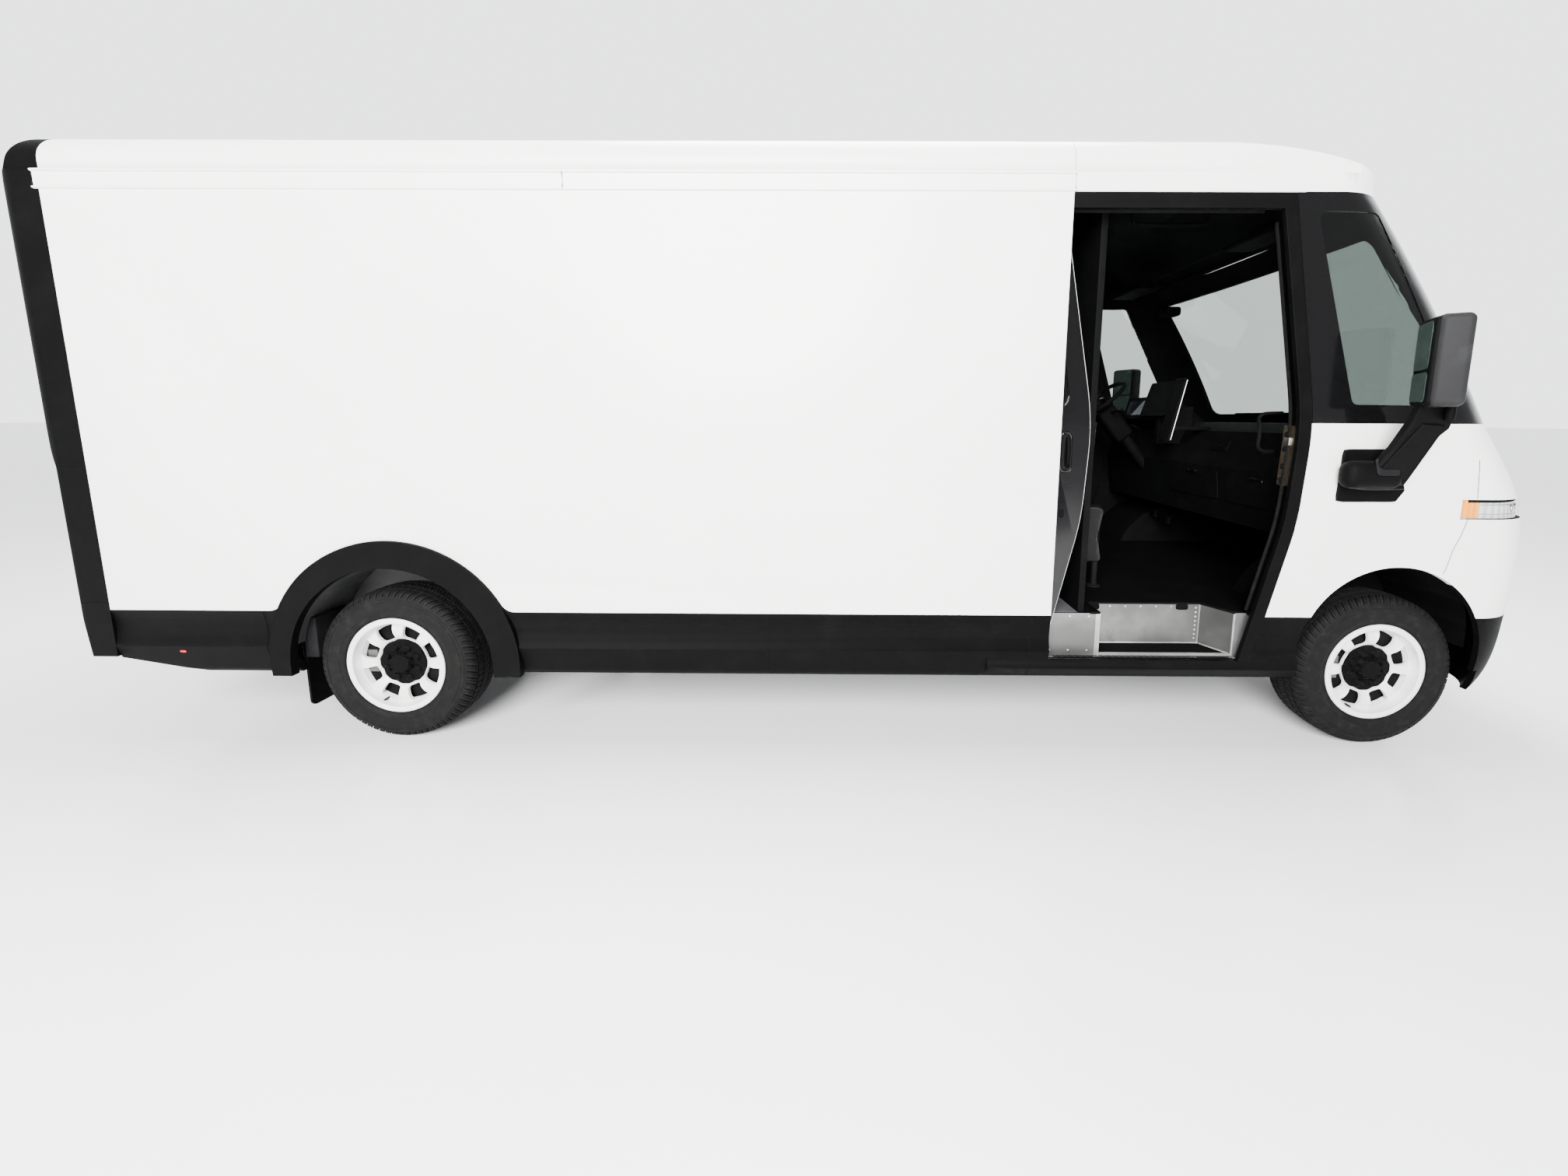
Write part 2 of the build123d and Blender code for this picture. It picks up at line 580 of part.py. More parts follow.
with BuildPart() as windscreen_surround:
    cab_solid(GLASS_PROFILE, 0, CARGO_FRONT)
    cab_solid(GLASS_PROFILE, SKIN, CARGO_FRONT, mode=Mode.SUBTRACT)
    behind_jamb()
    with BuildSketch(Plane.YZ.offset(FRONT_AXLE - 230)):
        screen_sketch(0)
    extrude(amount=900, mode=Mode.SUBTRACT)
    with BuildSketch(side(-HALF - 1)):
        quarter_sketch(0)
    extrude(amount=WIDTH + 2, mode=Mode.SUBTRACT)
finish(windscreen_surround, "windscreen_surround")

with BuildPart() as windscreen:
    cab_solid(GLASS_PROFILE, 3, CARGO_FRONT)
    cab_solid(GLASS_PROFILE, 3 + GLASS_T, CARGO_FRONT, mode=Mode.SUBTRACT)
    with BuildSketch(Plane.YZ.offset(FRONT_AXLE - 230)):
        screen_sketch(SEAT)
    extrude(amount=900, mode=Mode.INTERSECT)

with BuildPart() as quarter_glass:
    cab_solid(GLASS_PROFILE, 3, CARGO_FRONT)
    cab_solid(GLASS_PROFILE, 3 + GLASS_T, CARGO_FRONT, mode=Mode.SUBTRACT)
    with BuildSketch(side(-HALF - 1)):
        quarter_sketch(SEAT)
    extrude(amount=WIDTH + 2, mode=Mode.INTERSECT)
with BuildPart() as cab_glass:
    add(windscreen.part)
    add(quarter_glass.part)
finish(cab_glass, "cab_glass")

with BuildPart() as nose_panel:
    cab_solid(NOSE_PROFILE, 0, CARGO_FRONT)
    cab_solid(NOSE_PROFILE, SKIN, CARGO_FRONT, mode=Mode.SUBTRACT)
    behind_jamb()
    cylinder_across(FRONT_ARCH_X, FRONT_ARCH_Z, FRONT_ARCH_R, -HALF - 1, HALF + 1, mode=Mode.SUBTRACT)
    for y0, y1 in ((-HALF - 1, -SLOT_INNER), (SLOT_INNER, HALF + 1)):
        box(SLOT_REAR, NOSE_TIP + 1, y0, y1, SLOT_Z0, SLOT_Z1, mode=Mode.SUBTRACT)
finish(nose_panel, "nose_panel")

with BuildPart() as lamps:
    cab_solid(NOSE_PROFILE, LAMP_INSET, CARGO_FRONT)
    cab_solid(NOSE_PROFILE, LAMP_INSET + LAMP_T, CARGO_FRONT, mode=Mode.SUBTRACT)
    box(SLOT_REAR, NOSE_TIP + 1, -HALF, HALF, SLOT_Z0, SLOT_Z1, mode=Mode.INTERSECT)
    box(SLOT_REAR, NOSE_TIP + 1, -SLOT_INNER, SLOT_INNER, SLOT_Z0, SLOT_Z1, mode=Mode.SUBTRACT)
    for sign in (-1, 1):
        tail_lamp(sign)
finish(lamps, "lamps")

BUMPER_TAIL = FRONT_AXLE + 437

with BuildPart() as front_bumper:
    cab_solid(BUMPER_PROFILE, 0, FRONT_ARCH_X)
    cab_solid(BUMPER_PROFILE, SKIN, FRONT_ARCH_X, mode=Mode.SUBTRACT)
    cylinder_across(FRONT_ARCH_X, FRONT_ARCH_Z, FRONT_ARCH_R, -HALF - 1, HALF + 1, mode=Mode.SUBTRACT)
    box(FRONT_ARCH_X - 1, BUMPER_TAIL, -HALF - 1, HALF + 1, 0, RIDGE_LOW_Z, mode=Mode.SUBTRACT)
finish(front_bumper, "front_bumper")

ROOF_BEND_X = FRONT_AXLE - 1211
ROOF_BEND_R = 2740
ROOF_BEND = 21
BROW_R = 180
BROW = 50


def roof_profile(inset):
    """Side profile of the cab roof, flat behind and bending down to the windscreen's head."""
    high = HEIGHT - inset
    low = EAVES_Z - 100
    slope = radians(ROOF_BEND)
    with BuildLine() as edge:
        Line((CARGO_FRONT, high), (ROOF_BEND_X, high))
        bend = JernArc((ROOF_BEND_X, high), (1, 0), ROOF_BEND_R - inset, -ROOF_BEND)
        brow = JernArc(bend @ 1, (cos(slope), -sin(slope)), BROW_R - inset, -BROW)
        Polyline(brow @ 1, ((brow @ 1).X, low), (CARGO_FRONT, low), (CARGO_FRONT, high))
    make_face(edge.edges())


def roof_solid(inset):
    """Solid cab roof, drawn in from its outer surface by inset."""
    with BuildPart() as solid:
        with BuildSketch(Plane.YZ.offset(CARGO_FRONT + 3)):
            roof_outline(inset, EAVES_Z)
        extrude(amount=NOSE_TIP - CARGO_FRONT)
        with BuildSketch(Plane.XZ.offset(-HALF)):
            roof_profile(inset)
        extrude(amount=WIDTH, mode=Mode.INTERSECT)
        with BuildSketch(Plane.XY.offset(EAVES_Z)):
            cab_outline(ROOF_TIP, inset, CARGO_FRONT)
        extrude(amount=HEIGHT - EAVES_Z, mode=Mode.INTERSECT)
    return solid.part


with BuildPart() as cab_roof:
    add(roof_solid(0))
    add(roof_solid(ROOF_T), mode=Mode.SUBTRACT)
finish(cab_roof, "cab_roof")

# ---------------------------------------------------------------- door openings
FRAME_IN = WALL_IN + 6
FRAME_DEEP = 130
FRAME_CLEAR = JAMB_LAP + LATCH_GAP + 12

with BuildPart() as door_frame:
    with BuildSketch(side(HALF - SKIN)):
        opening_sketch(JAMB_W, CARGO_FRONT, bottom=OPENING_Z, top=EAVES_Z)
        opening_sketch(0, CARGO_FRONT, bottom=OPENING_Z, top=DOOR_HEAD_Z, mode=Mode.SUBTRACT)
    extrude(amount=SKIN)
    with BuildSketch(side(FRAME_IN)):
        opening_sketch(FRAME_DEEP, CARGO_FRONT, bottom=FLOOR_Z, top=EAVES_Z)
        opening_sketch(FRAME_CLEAR, CARGO_FRONT, bottom=FLOOR_Z, top=POCKET_TOP_Z, mode=Mode.SUBTRACT)
    extrude(amount=HALF - SKIN - FRAME_IN)
finish_pair(door_frame, "door_frame")

# ---------------------------------------------------------------- cab floor and steps
STEP_REAR = FRONT_AXLE - 1314
STEP_FRONT = FRONT_AXLE - 655
STEP_FRONT_IN = FRONT_AXLE - 735
STEP_IN = HALF - 235
STEP_T = 12
SHEET_T = 6
FIREWALL_Z = 1130
SILL_FRONT = FRONT_AXLE - 560

with BuildPart() as cab_floor:
    floor_rear = BULKHEAD_X + BULKHEAD_T
    edge_y = POCKET_IN - STEP_T
    with BuildSketch(Plane.XY.offset(FLOOR_Z - FLOOR_T)):
        with BuildLine():
            Polyline((floor_rear, -edge_y), (SILL_FRONT, -edge_y), (SILL_FRONT, -WALL_IN), (CAB_FRONT, -WALL_IN),
                     (CAB_FRONT, WALL_IN), (SILL_FRONT, WALL_IN), (SILL_FRONT, edge_y), (floor_rear, edge_y),
                     close=True)
        make_face()
        for sign in (-1, 1):
            with BuildLine():
                Polyline((STEP_REAR, sign * HALF), (STEP_REAR, sign * STEP_IN), (STEP_FRONT_IN, sign * STEP_IN),
                         (STEP_FRONT, sign * POCKET_IN), (STEP_FRONT, sign * HALF), close=True)
            make_face(mode=Mode.SUBTRACT)
    extrude(amount=FLOOR_T)
    for y0, y1 in ((FRONT_HOUSING_IN - SEAT, HALF), (-HALF, SEAT - FRONT_HOUSING_IN)):
        cylinder_across(FRONT_ARCH_X, FRONT_ARCH_Z, FRONT_HOUSING_R + SEAT, y0, y1, mode=Mode.SUBTRACT)
    box(CAB_FRONT, CAB_FRONT + STEP_T, 2 - FRONT_HOUSING_IN, FRONT_HOUSING_IN - 2, FLOOR_Z - FLOOR_T, FIREWALL_Z)


def well_sketch(shrink):
    """Plan of a step well, open towards the door; shrink draws its walls in."""
    with BuildLine() as edge:
        Polyline((STEP_REAR + shrink, -POCKET_IN), (STEP_REAR + shrink, -STEP_IN - shrink),
                 (STEP_FRONT_IN - shrink, -STEP_IN - shrink), (STEP_FRONT - shrink, -POCKET_IN), close=True)
    make_face(edge.edges())


with BuildPart() as step_well:
    with BuildSketch(Plane.XY.offset(STEP_Z - STEP_T)):
        well_sketch(0)
    extrude(amount=FLOOR_Z - STEP_Z + STEP_T)
    with BuildSketch(Plane.XY.offset(STEP_Z)):
        well_sketch(SHEET_T)
    extrude(amount=FLOOR_Z, mode=Mode.SUBTRACT)
    box(CARGO_FRONT, STEP_REAR, -POCKET_IN, STEP_T - POCKET_IN, STEP_Z - STEP_T, FLOOR_Z)
    box(STEP_FRONT - STEP_T, SILL_FRONT, -POCKET_IN, STEP_T - POCKET_IN, STEP_Z - STEP_T, FLOOR_Z)
with cab_floor:
    add(step_well.part)
    mirror(step_well.part, about=Plane.XZ)
finish(cab_floor, "cab_floor")

# ---------------------------------------------------------------- dashboard and steering
COLUMN_Y = 500
WHEEL_X = FRONT_AXLE - 701
WHEEL_Z = 1685
STEER_R = 200
STEER_RIM_R = 15
COLUMN_TILT = 39
COLUMN_R = 36
COLUMN_TOP = 60     # distances from the steering wheel's centre along the column
COLUMN_FOOT = 620
DASH_REAR = FRONT_AXLE - 361
DASH_Z = 1538
lean = radians(COLUMN_TILT)
column_dir = (-sin(lean), 0, cos(lean))


def on_column(distance):
    """Point on the steering column's axis, ahead of and below the steering wheel's centre."""
    return (WHEEL_X - distance * column_dir[0], COLUMN_Y, WHEEL_Z - distance * column_dir[2])


def column_plane(distance):
    """Plane square to the steering column."""
    return Plane(origin=on_column(distance), x_dir=(0, 1, 0), z_dir=column_dir)


with BuildPart() as dashboard:
    cab_solid(NOSE_PROFILE, SKIN + 12, CARGO_FRONT)
    with BuildSketch(Plane.XZ.offset(-HALF)):
        with BuildLine():
            Polyline((DASH_REAR + 40, 980), (DASH_REAR, 1290), (DASH_REAR + 80, 1490), (DASH_REAR + 200, DASH_Z),
                     (FRONT_AXLE + 420, DASH_Z), (FRONT_AXLE + 420, FIREWALL_Z), (FRONT_AXLE + 200, FIREWALL_Z),
                     (FRONT_AXLE - 30, 980), close=True)
        make_face()
    extrude(amount=WIDTH, mode=Mode.INTERSECT)
    box(CARGO_FRONT, NOSE_TIP, 2 - FRAME_IN, FRAME_IN - 2, 0, HEIGHT, mode=Mode.INTERSECT)
    with BuildSketch(Plane.XZ.offset(-COLUMN_Y - 190)):
        with BuildLine():
            Polyline((DASH_REAR - 60, 1560), (DASH_REAR - 20, 1712), (DASH_REAR + 90, 1720),
                     (DASH_REAR + 330, DASH_Z - 3), (DASH_REAR + 100, 1480), close=True)
        make_face()
    extrude(amount=380)
    box(DASH_REAR - 100, DASH_REAR + 120, 130, 170, 1400, 1640)
    with BuildSketch(Plane(origin=(DASH_REAR - 136, 0, 1580), x_dir=(0, 1, 0), z_dir=(-0.95, 0, 0.3))):
        with Locations((155, -115)):
            RectangleRounded(300, 230, 14)
    extrude(amount=-40)
    bar(on_column(COLUMN_TOP), on_column(COLUMN_FOOT), COLUMN_R + SEAT, mode=Mode.SUBTRACT)
finish(dashboard, "dashboard")

with BuildPart() as steering_column:
    bar(on_column(COLUMN_TOP), on_column(COLUMN_FOOT), COLUMN_R)
finish(steering_column, "steering_column")

with BuildPart() as steering_wheel:
    with BuildSketch(Plane(origin=(WHEEL_X, COLUMN_Y + STEER_R, WHEEL_Z), x_dir=(0, 1, 0),
                           z_dir=(cos(lean), 0, sin(lean)))):
        Circle(STEER_RIM_R)
    revolve(axis=Axis((WHEEL_X, COLUMN_Y, WHEEL_Z), column_dir))
    with BuildSketch(column_plane(COLUMN_TOP - SEAT)):
        Circle(55)
    extrude(amount=52)
    with BuildSketch(column_plane(16)):
        with PolarLocations(STEER_R / 2, 3, start_angle=90):
            Rectangle(STEER_R, 34)
    extrude(amount=10)
finish(steering_wheel, "steering_wheel")

# ---------------------------------------------------------------- seats
SEAT_X = FRONT_AXLE - 1060
SEAT_Z = 1170
SEAT_W = 500
SEAT_D = 480
CUSHION_T = 130

with BuildPart() as driver_seat:
    box(SEAT_X - 180, SEAT_X + 180, COLUMN_Y - 180, COLUMN_Y + 180, FLOOR_Z, SEAT_Z - CUSHION_T)
    with BuildSketch(Plane.XY.offset(SEAT_Z - CUSHION_T)):
        with Locations((SEAT_X, COLUMN_Y)):
            RectangleRounded(SEAT_D, SEAT_W, 60)
    extrude(amount=CUSHION_T)
    with BuildSketch(Plane.XZ.offset(-COLUMN_Y - SEAT_W / 2)):
        with BuildLine():
            Polyline((SEAT_X - 210, SEAT_Z), (SEAT_X - 100, SEAT_Z), (SEAT_X - 130, SEAT_Z + 640),
                     (SEAT_X - 220, SEAT_Z + 640), close=True)
        make_face()
    extrude(amount=SEAT_W)
    box(SEAT_X - 215, SEAT_X - 145, COLUMN_Y - 140, COLUMN_Y + 140, SEAT_Z + 640, SEAT_Z + 830)
finish(driver_seat, "driver_seat")

JUMP_Y = -560
JUMP_X = BULKHEAD_X + BULKHEAD_T
with BuildPart() as jump_seat:
    with BuildSketch(side(-JUMP_Y - 45)):
        with Locations((JUMP_X + 140, 930)):
            RectangleRounded(250, 330, 24)
    extrude(amount=90)
    box(JUMP_X + 215, JUMP_X + 255, JUMP_Y - 20, JUMP_Y + 20, FLOOR_Z, 780)
    box(JUMP_X, JUMP_X + 30, JUMP_Y - 30, JUMP_Y + 30, 800, 1060)
finish(jump_seat, "jump_seat")

# ---------------------------------------------------------------- mirrors
MIRROR_X = FRONT_AXLE - 123
MIRROR_Y = HALF + 180
MIRROR_Z = 1792
MIRROR_H = 360
MIRROR_W = 200
MIRROR_T = 100
MIRROR_TURN = 30    # degrees the mirror's glass turns towards the driver
MIRROR_EDGE = 22
MIRROR_CROWN = 14
BASE_T = 14
POD_X = FRONT_AXLE - 230
POD_Z = 1322
POD_OUT = 92
POD_EDGE = 24
ARM_TURN = 18.5     # degrees the arm leans outwards
ARM_T = 44
arm_lean = radians(ARM_TURN)


def on_arm(ahead, height):
    """Point of the arm's side view, laid on the leaning plane through the arm."""
    return (FRONT_AXLE + ahead, (height - POD_Z) / cos(arm_lean))


with BuildPart() as mirror_unit:
    with BuildSketch(side(HALF)):
        with Locations((POD_X, POD_Z)):
            RectangleRounded(250, 126, 55)
    extrude(amount=POD_OUT)
    fillet(mirror_unit.faces().sort_by(Axis.Y)[0].edges(), POD_EDGE)
    with BuildSketch(side(HALF)):
        with BuildLine():
            Polyline((FRONT_AXLE - 322, 1431), (FRONT_AXLE - 99, 1432), (FRONT_AXLE - 32, 1250),
                     (FRONT_AXLE - 68, 1197), (FRONT_AXLE - 332, 1196), close=True)
        base = make_face()
        fillet(base.vertices(), BASE_T)
    extrude(amount=BASE_T)
    with BuildSketch(Plane(origin=(0, -HALF - 62, POD_Z), x_dir=(1, 0, 0),
                           z_dir=(0, -cos(arm_lean), -sin(arm_lean)))):
        with BuildLine():
            Polyline(on_arm(-270, 1325), on_arm(-93, 1268), on_arm(-43, 1490), on_arm(-17, 1522),
                     on_arm(-19, 1575), on_arm(-52, 1635), on_arm(-180, 1635), on_arm(-184, 1548),
                     on_arm(-211, 1436), close=True)
        arm = make_face()
        fillet(arm.vertices(), 8)
    extrude(amount=ARM_T / 2, both=True)
    with BuildSketch(Plane.XY.offset(MIRROR_Z - MIRROR_H / 2)):
        with Locations(Location((MIRROR_X, -MIRROR_Y, 0), (0, 0, -MIRROR_TURN))):
            RectangleRounded(MIRROR_T, MIRROR_W, MIRROR_EDGE)
    head = extrude(amount=MIRROR_H)
    fillet(head.faces().sort_by(Axis.Z)[-1].edges(), MIRROR_CROWN)
finish_pair(mirror_unit, "mirror")

# ---------------------------------------------------------------- sliding doors
DOOR_REAR = CARGO_FRONT - DOOR_LAP
WINDOW_Z = 1600
WINDOW_TOP_Z = DOOR_HEAD_Z - 67
WINDOW_MARGIN = 70


def window_face(shrink):
    """Door window seen from the side."""
    head, knee, *_ = opening_points(-WINDOW_MARGIN)
    rear = DOOR_REAR + WINDOW_MARGIN
    with BuildSketch() as window:
        with BuildLine():
            Polyline((rear, WINDOW_Z), (rear, WINDOW_TOP_Z), (head[0], WINDOW_TOP_Z), (knee[0] - 10, WINDOW_Z),
                     close=True)
        make_face()
        fillet(window.vertices(), 60)
        if shrink:
            offset(amount=-shrink, mode=Mode.REPLACE)
    return window.sketch


with BuildPart() as door_shut:
    with BuildSketch(side(DOOR_IN)):
        opening_sketch(JAMB_LAP, DOOR_REAR, bottom=DOOR_Z, top=DOOR_TOP_Z)
        add(window_face(0), mode=Mode.SUBTRACT)
    extrude(amount=DOOR_T)
    with BuildSketch(side(DOOR_OUT - 14)):
        with Locations((BELT_X - 95, 1410)):
            SlotOverall(190, 58, rotation=90)
    extrude(amount=20, mode=Mode.SUBTRACT)
    for x in (DOOR_REAR + 120, HEAD_X - 160):
        box(x - 35, x + 35, -DOOR_OUT + 10, -DOOR_IN - 10, DOOR_TOP_Z - 1, POCKET_TOP_Z - SEAT)
with BuildPart() as glass_shut:
    with BuildSketch(side(DOOR_OUT - 6 - GLASS_T)):
        add(window_face(SEAT))
    extrude(amount=GLASS_T)

SLID_BACK = Location((-DOOR_TRAVEL, 0, 0))
for shut, name in ((door_shut, "sliding_door"), (glass_shut, "door_glass")):
    with BuildPart() as right:
        add(shut.part.moved(SLID_BACK))
    finish(right, f"{name}_right")
    with BuildPart() as left:
        mirror(shut.part, about=Plane.XZ)
    finish(left, f"{name}_left")

# ---------------------------------------------------------------- wheels
RIM_HALF_W = 105
BEAD_HALF_W = 97
HUB_BORE_R = SPINDLE_R + SEAT
CAP_R = 108
DROP_R = 200
SPINDLE_END = 62    # outboard end of a spindle, from the wheel's centre plane


def wheel_plane(x, y):
    """Plane through a wheel's axis: first axis outboard, second axis up."""
    out = 1 if y > 0 else -1
    return Plane(origin=(x, y, TYRE_R), x_dir=(0, out, 0), z_dir=(out, 0, 0))


def face_plane(x, y, reach):
    """Plane square to a wheel's axis, reach outboard of its centre plane, facing outboard."""
    out = 1 if y > 0 else -1
    return Plane(origin=(x, y + out * reach, TYRE_R), x_dir=(out, 0, 0), z_dir=(0, out, 0))


def make_tyre(x, y, name):
    """Tyre, hollow between its beads."""
    wide = TYRE_W / 2
    with BuildPart() as tyre:
        with BuildSketch(wheel_plane(x, y)):
            with BuildLine():
                Polyline((BEAD_HALF_W, FLANGE_R), (BEAD_HALF_W, RIM_R + SEAT), (-BEAD_HALF_W, RIM_R + SEAT),
                         (-BEAD_HALF_W, FLANGE_R))
                Spline((-BEAD_HALF_W, FLANGE_R), (-wide, 300), (-wide + 22, TYRE_R - 18),
                       tangents=[(-1, 1), (1, 1)])
                ThreePointArc((-wide + 22, TYRE_R - 18), (-wide + 31, TYRE_R - 8), (-wide + 46, TYRE_R - 3))
                ThreePointArc((-wide + 46, TYRE_R - 3), (0, TYRE_R), (wide - 46, TYRE_R - 3))
                ThreePointArc((wide - 46, TYRE_R - 3), (wide - 31, TYRE_R - 8), (wide - 22, TYRE_R - 18))
                Spline((wide - 22, TYRE_R - 18), (wide, 300), (BEAD_HALF_W, FLANGE_R),
                       tangents=[(1, -1), (-1, -1)])
            make_face()
            with Locations((0, RIM_R - 10)):
                Rectangle(2 * BEAD_HALF_W - 24, TYRE_R - RIM_R - 8, align=(Align.CENTER, Align.MIN),
                          mode=Mode.SUBTRACT)
        revolve(axis=Axis((x, y, TYRE_R), (0, 1, 0)))
    finish(tyre, name)


def make_rim(x, y, name):
    """Steel wheel: drop-centre barrel, windowed disc, brake disc and lobed hub cap."""
    seat = BEAD_HALF_W + SEAT
    with BuildPart() as cap:
        with BuildSketch(wheel_plane(x, y)):
            with BuildLine():
                Polyline((HUB_FACE, 0), (HUB_FACE, CAP_R), (HUB_FACE + 14, CAP_R))
                Spline((HUB_FACE + 14, CAP_R), (HUB_FACE + 36, CAP_R - 22), (HUB_FACE + 44, 12),
                       tangents=[(1, 0), (0, -1)])
                Polyline((HUB_FACE + 44, 12), (HUB_FACE + 44, 0), (HUB_FACE, 0))
            make_face()
        revolve(axis=Axis((x, y, TYRE_R), (0, 1, 0)))
        with BuildSketch(face_plane(x, y, HUB_FACE + 8)):
            with PolarLocations(CAP_R + 8, WHEEL_WINDOWS):
                Circle(20)
        extrude(amount=60, mode=Mode.SUBTRACT)
    with BuildPart() as rim:
        with BuildSketch(wheel_plane(x, y)):
            with BuildLine():
                Polyline((-RIM_HALF_W, FLANGE_R), (-seat, FLANGE_R), (-seat, RIM_R), (-80, RIM_R), (-60, DROP_R),
                         (60, DROP_R), (80, RIM_R), (seat, RIM_R), (seat, FLANGE_R), (RIM_HALF_W, FLANGE_R),
                         (RIM_HALF_W, RIM_R - RIM_T), (77, RIM_R - RIM_T), (57, DROP_R - RIM_T),
                         (-57, DROP_R - RIM_T), (-77, RIM_R - RIM_T), (-RIM_HALF_W, RIM_R - RIM_T), close=True)
            make_face()
            with BuildLine():
                Polyline((HUB_FACE, 0), (HUB_FACE, CAP_R - 4), (62, 124), (70, 178), (55, DROP_R - 4),
                         (64, DROP_R - 2), (78, 182), (70, 118), (HUB_FACE + 8, CAP_R - 8),
                         (HUB_FACE + 8, 0), close=True)
            make_face()
            with Locations((14, DISC_R / 2 + 36)):
                Rectangle(16, DISC_R - 72, align=(Align.MIN, Align.CENTER))
            with Locations((29, 66)):
                Rectangle(12, 12, align=(Align.MIN, Align.CENTER))
        revolve(axis=Axis((x, y, TYRE_R), (0, 1, 0)))
        with BuildSketch(face_plane(x, y, 52)):
            with PolarLocations(153, WHEEL_WINDOWS, start_angle=180 / WHEEL_WINDOWS):
                Trapezoid(78, 46, 72, rotation=90)
        extrude(amount=60, mode=Mode.SUBTRACT)
        add(cap.part)
        with BuildSketch(face_plane(x, y, HUB_FACE - 1)):
            Circle(HUB_BORE_R)
        extrude(amount=SPINDLE_END + 2 - HUB_FACE, mode=Mode.SUBTRACT)
    finish(rim, name)


for x, end in ((FRONT_AXLE, "front"), (REAR_AXLE, "rear")):
    for y, hand in ((-TRACK / 2, "right"), (TRACK / 2, "left")):
        make_tyre(x, y, f"tyre_{end}_{hand}")
        make_rim(x, y, f"wheel_{end}_{hand}")

# ---------------------------------------------------------------- running gear
ARM_LOW_Z = TYRE_R - 108
ARM_HIGH_Z = TYRE_R + 108
ARM_R = 15
POST_R = 28
POST_LOW_Z = ARM_LOW_Z + 22
POST_HIGH_Z = ARM_HIGH_Z - 22
PIN_DEPTH = 18
CARRIER_END = 10
WHEEL_Y = TRACK / 2


def hub_and_brake(x):
    """Right-hand hub carrier, spindle and brake caliper."""
    inner = WHEEL_Y - 50
    cylinder_across(x, TYRE_R, 50, inner, WHEEL_Y + CARRIER_END)
    cylinder_across(x, TYRE_R, SPINDLE_R, inner, WHEEL_Y + SPINDLE_END)
    box(x - 172, x - 40, -WHEEL_Y - 8, -WHEEL_Y + 14, TYRE_R - 40, TYRE_R + 40)
    box(x - 176, x - 130, -WHEEL_Y - 48, -WHEEL_Y + 14, TYRE_R - 55, TYRE_R + 55)
    cylinder_across(x, TYRE_R, DISC_R + 7, WHEEL_Y + 8, WHEEL_Y + 36, mode=Mode.SUBTRACT)
    cylinder_across(x, TYRE_R, SPINDLE_R, inner, WHEEL_Y + SPINDLE_END)


with BuildPart() as knuckle:
    hub_and_brake(FRONT_AXLE)
    bar((FRONT_AXLE, -KINGPIN_Y, POST_LOW_Z), (FRONT_AXLE, -KINGPIN_Y, POST_HIGH_Z), POST_R)
    bar((FRONT_AXLE, -KINGPIN_Y, POST_LOW_Z + 30), (FRONT_AXLE - 130, 40 - KINGPIN_Y, POST_LOW_Z + 30), 14)
    bar((FRONT_AXLE, -KINGPIN_Y, POST_LOW_Z - 1), (FRONT_AXLE, -KINGPIN_Y, POST_LOW_Z + PIN_DEPTH + 1),
        KINGPIN_R + SEAT, mode=Mode.SUBTRACT)
    bar((FRONT_AXLE, -KINGPIN_Y, POST_HIGH_Z - PIN_DEPTH - 1), (FRONT_AXLE, -KINGPIN_Y, POST_HIGH_Z + 1),
        KINGPIN_R + SEAT, mode=Mode.SUBTRACT)
finish_pair(knuckle, "knuckle")

SUBFRAME_Y = RAIL_Y - 15
LOW_SPREAD = 150
HIGH_SPREAD = 105
PLATE_Y = RAIL_Y + RAIL_W / 2
with BuildPart() as wishbones:
    for z, spread, mount_y, mount_z, pin_z in (
            (ARM_LOW_Z, LOW_SPREAD, SUBFRAME_Y, ARM_LOW_Z + 20, POST_LOW_Z + PIN_DEPTH),
            (ARM_HIGH_Z, HIGH_SPREAD, PLATE_Y + 10, ARM_HIGH_Z + 10, POST_HIGH_Z - PIN_DEPTH)):
        for reach in (-spread, spread):
            bar((FRONT_AXLE + reach, -mount_y, mount_z), (FRONT_AXLE, -KINGPIN_Y, z), ARM_R)
        bar((FRONT_AXLE, -KINGPIN_Y, min(z, pin_z)), (FRONT_AXLE, -KINGPIN_Y, max(z, pin_z)), KINGPIN_R)
        bar((FRONT_AXLE, -KINGPIN_Y, z - ARM_R), (FRONT_AXLE, -KINGPIN_Y, z + ARM_R), 20)
    box(FRONT_AXLE - 190, FRONT_AXLE + 190, -SUBFRAME_Y - 20, -SUBFRAME_Y + 20, ARM_LOW_Z - 10, CHASSIS_Z)
    box(FRONT_AXLE - 190, FRONT_AXLE + 190, -PLATE_Y - 12, -PLATE_Y, CHASSIS_Z, ARM_HIGH_Z + 40)
    box(FRONT_AXLE - 190, FRONT_AXLE + 190, -PLATE_Y - 12, -SUBFRAME_Y, CHASSIS_Z - 12, CHASSIS_Z)
with BuildPart() as front_suspension:
    add(wishbones.part)
    mirror(wishbones.part, about=Plane.XZ)
    for reach in (-UNIT_BACK - 25, UNIT_AHEAD + 25):
        box(FRONT_AXLE + reach - 25, FRONT_AXLE + reach + 25, -SUBFRAME_Y - 20, SUBFRAME_Y + 20,
            ARM_LOW_Z - 10, ARM_LOW_Z + 60)
    for y in (-1, 1):
        box(FRONT_AXLE - UNIT_BACK - 50, FRONT_AXLE + UNIT_AHEAD + 50, y * SUBFRAME_Y - 20, y * SUBFRAME_Y + 20,
            ARM_LOW_Z - 10, ARM_LOW_Z + 60)
finish(front_suspension, "front_suspension")

